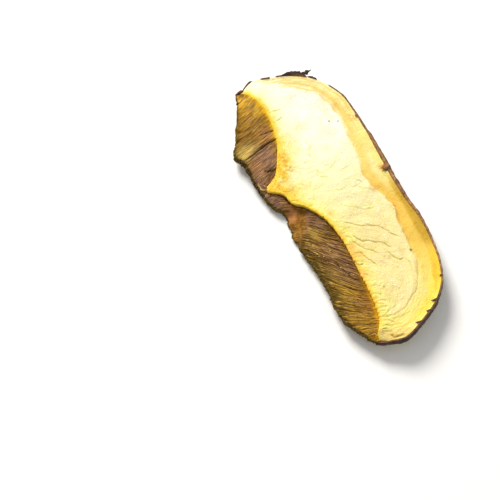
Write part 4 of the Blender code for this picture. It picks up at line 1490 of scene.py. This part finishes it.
cap_skin = lofted(
    "cap_skin",
    [
        (inside_wall, {}),
        (rim_strip, {"cut": 1.0, "dark": np.clip(rim_dark, 0, 1), "rust": rim_rust}),
        (
            outer_wall,
            # Painted shade in the wrinkles, painted highlight on the puckers.
            {"dark": np.clip(0.1 + 0.7 * wrinkled, 0, 1), "raised": np.clip(1.1 * pucker - 0.1, 0, 1)},
        ),
    ],
    cuticle_finish,
)
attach(cap_skin, "root")
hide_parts("bolete_slice")

# The curl. Near the pointed tip the skin has come away from the edge: a flap about a centimetre long
# curls outwards, and shrivelled shreds of it hang on beside.
CURL_START = 2.6
CURL_END = 3.62
CURL_RINGS = 90
CURL_WIDTH = 1.6
CURL_RISE = 0.5
CURL_SHEET = 0.28
CURL_COLUMNS = 9
CURL_SWELLS = [(0.25, 1.0, 131.0)]

places = np.linspace(CURL_START, CURL_END, CURL_RINGS)
_, edge, skin = cross_section(places)
outward = unit(skin - edge)
curl_height = skin_height(places, edge, skin)
share = np.linspace(0, 1, CURL_RINGS)
spread = CURL_WIDTH * np.sin(math.pi * share ** 0.85) ** 0.7 + 0.12
spread = spread * (1 + swells(as_points(9 * share, 0.0), CURL_SWELLS))
over = []
under = []
for step in np.linspace(0, 1, CURL_COLUMNS):
    place = skin + (step * spread - 0.25)[:, None] * outward
    fold = uneven(as_points(14 * share, 2 * step), 1.0, 133.0)
    rise = CURL_RISE * np.sin(math.pi * 0.75 * step) * np.sin(math.pi * share) + 0.18 * fold * step + 0.1
    over.append(risen(place, curl_height + rise))
    under.append(risen(place - 0.02 * outward, curl_height + rise - CURL_SHEET * (1 - 0.6 * step)))
curl_points = np.stack(over + under[::-1], axis=1)
dark_over = np.linspace(0.2, 0.8, CURL_COLUMNS)
cut_over = smooth_step(0.5, 0.2, np.linspace(0, 1, CURL_COLUMNS))
curl_marks = {
    "dark": np.concatenate([dark_over, dark_over[::-1]]),
    "cut": np.concatenate([cut_over, 0 * cut_over]) * smooth_step(0.35, 0.7, share)[:, None],
}
skin_curl = lofted("skin_curl", [(curl_points, curl_marks)], cuticle_finish)
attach(skin_curl, "root")
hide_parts("bolete_slice")

# The shreds. Where the skin tore at the pointed end it left shrivelled scraps of itself: a knot at the
# very tip, a thick shred rolled up beside the curl, and a thin one that clings to the edge.
SHRED_STEPS = 8
SHRED_SIDES = 12
SHRED_FLATNESS = 0.7
SHRED_SWELLS = [(0.3, 1.0, 141.0)]
SHRED_MARKS = {"dark": 0.7, "cut": 0.1}
KNOT_MARKS = {"dark": 0.35, "rust": 0.3}
# Their middle lines, as points (x, y, z) with the thickness there.
SHREDS = {
    "tip_knot": [
        (-45.6, -5.0, 4.6, 0.12), (-45.8, -5.7, 4.65, 0.36), (-45.9, -6.5, 4.7, 0.5),
        (-46.0, -7.2, 4.55, 0.44), (-46.2, -8.0, 4.2, 0.15),
    ],
    "curled_shred": [
        (-41.9, 12.3, 6.4, 0.15), (-41.3, 12.9, 6.5, 0.4), (-41.0, 13.3, 6.6, 0.72),
        (-41.0, 13.7, 6.7, 0.75), (-40.9, 14.0, 6.85, 0.5), (-40.8, 14.3, 6.95, 0.28),
        (-40.8, 14.7, 7.05, 0.2), (-40.9, 15.0, 7.15, 0.12),
    ],
    "edge_shred": [
        (-39.9, 13.1, 5.9, 0.1), (-39.4, 13.9, 6.0, 0.3), (-38.7, 14.7, 5.9, 0.22), (-38.1, 15.3, 5.8, 0.1),
    ],
}


def shred(name, line, finish, marks):
    """A shrivelled strip swept along its middle line, wrinkled and a little flattened."""
    line = curve_through(line, np.linspace(0, len(line) - 1, SHRED_STEPS * (len(line) - 1) + 1))
    middle = line[:, :3]
    radius = np.maximum(line[:, 3], 0.04)
    ahead = unit(np.gradient(middle, axis=0))
    beside = unit(np.cross(ahead, (0.0, 0.0, 1.0)))
    above = np.cross(beside, ahead)
    turn = np.linspace(0, 2 * math.pi, SHRED_SIDES, endpoint=False)
    round_it = as_points(np.arange(len(line))[:, None] / 5.0, 2 * np.cos(turn))
    size = radius[:, None] * (1 + swells(round_it, SHRED_SWELLS))
    points = middle[:, None] + (size * np.cos(turn))[..., None] * beside[:, None]
    points = points + (SHRED_FLATNESS * size * np.sin(turn))[..., None] * above[:, None]
    piece = lofted(name, [(points, marks)], finish)
    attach(piece, "root")
    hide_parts("bolete_slice")


for name, line in SHREDS.items():
    shred(name, line, cuticle_finish, KNOT_MARKS if name == "tip_knot" else SHRED_MARKS)

# The torn strips. At the notch between the two lobes, thin pale strips of the tubes' walls have come
# loose and lie across the corner. They dried thin, bent and brittle.
TORN_STRIPS = {
    "torn_strip": [
        (-16.7, -17.3, 3.3, 0.06), (-15.9, -17.9, 3.35, 0.18), (-15.0, -17.7, 3.45, 0.14),
        (-14.3, -17.9, 3.55, 0.22), (-13.6, -17.3, 3.75, 0.16), (-13.1, -16.7, 4.0, 0.05),
    ],
    "torn_strip_small": [
        (-15.6, -16.6, 3.3, 0.05), (-14.9, -16.5, 3.45, 0.12), (-14.2, -16.0, 3.6, 0.1),
        (-13.7, -15.9, 3.8, 0.04),
    ],
}
strip_finish = Finish("torn_strips", (190, 160, 112), 0.65)
strip_finish.coat([
    ((128, 92, 60), 0.8, (0.7, 0.48, 0.62, 1.0)),
])
strip_finish.emboss(strip_finish.grain(0.2, 0.3, 0.7, 2.0), 0.04)
strip_surface = strip_finish.done()
for name, line in TORN_STRIPS.items():
    shred(name, line, strip_surface, {})
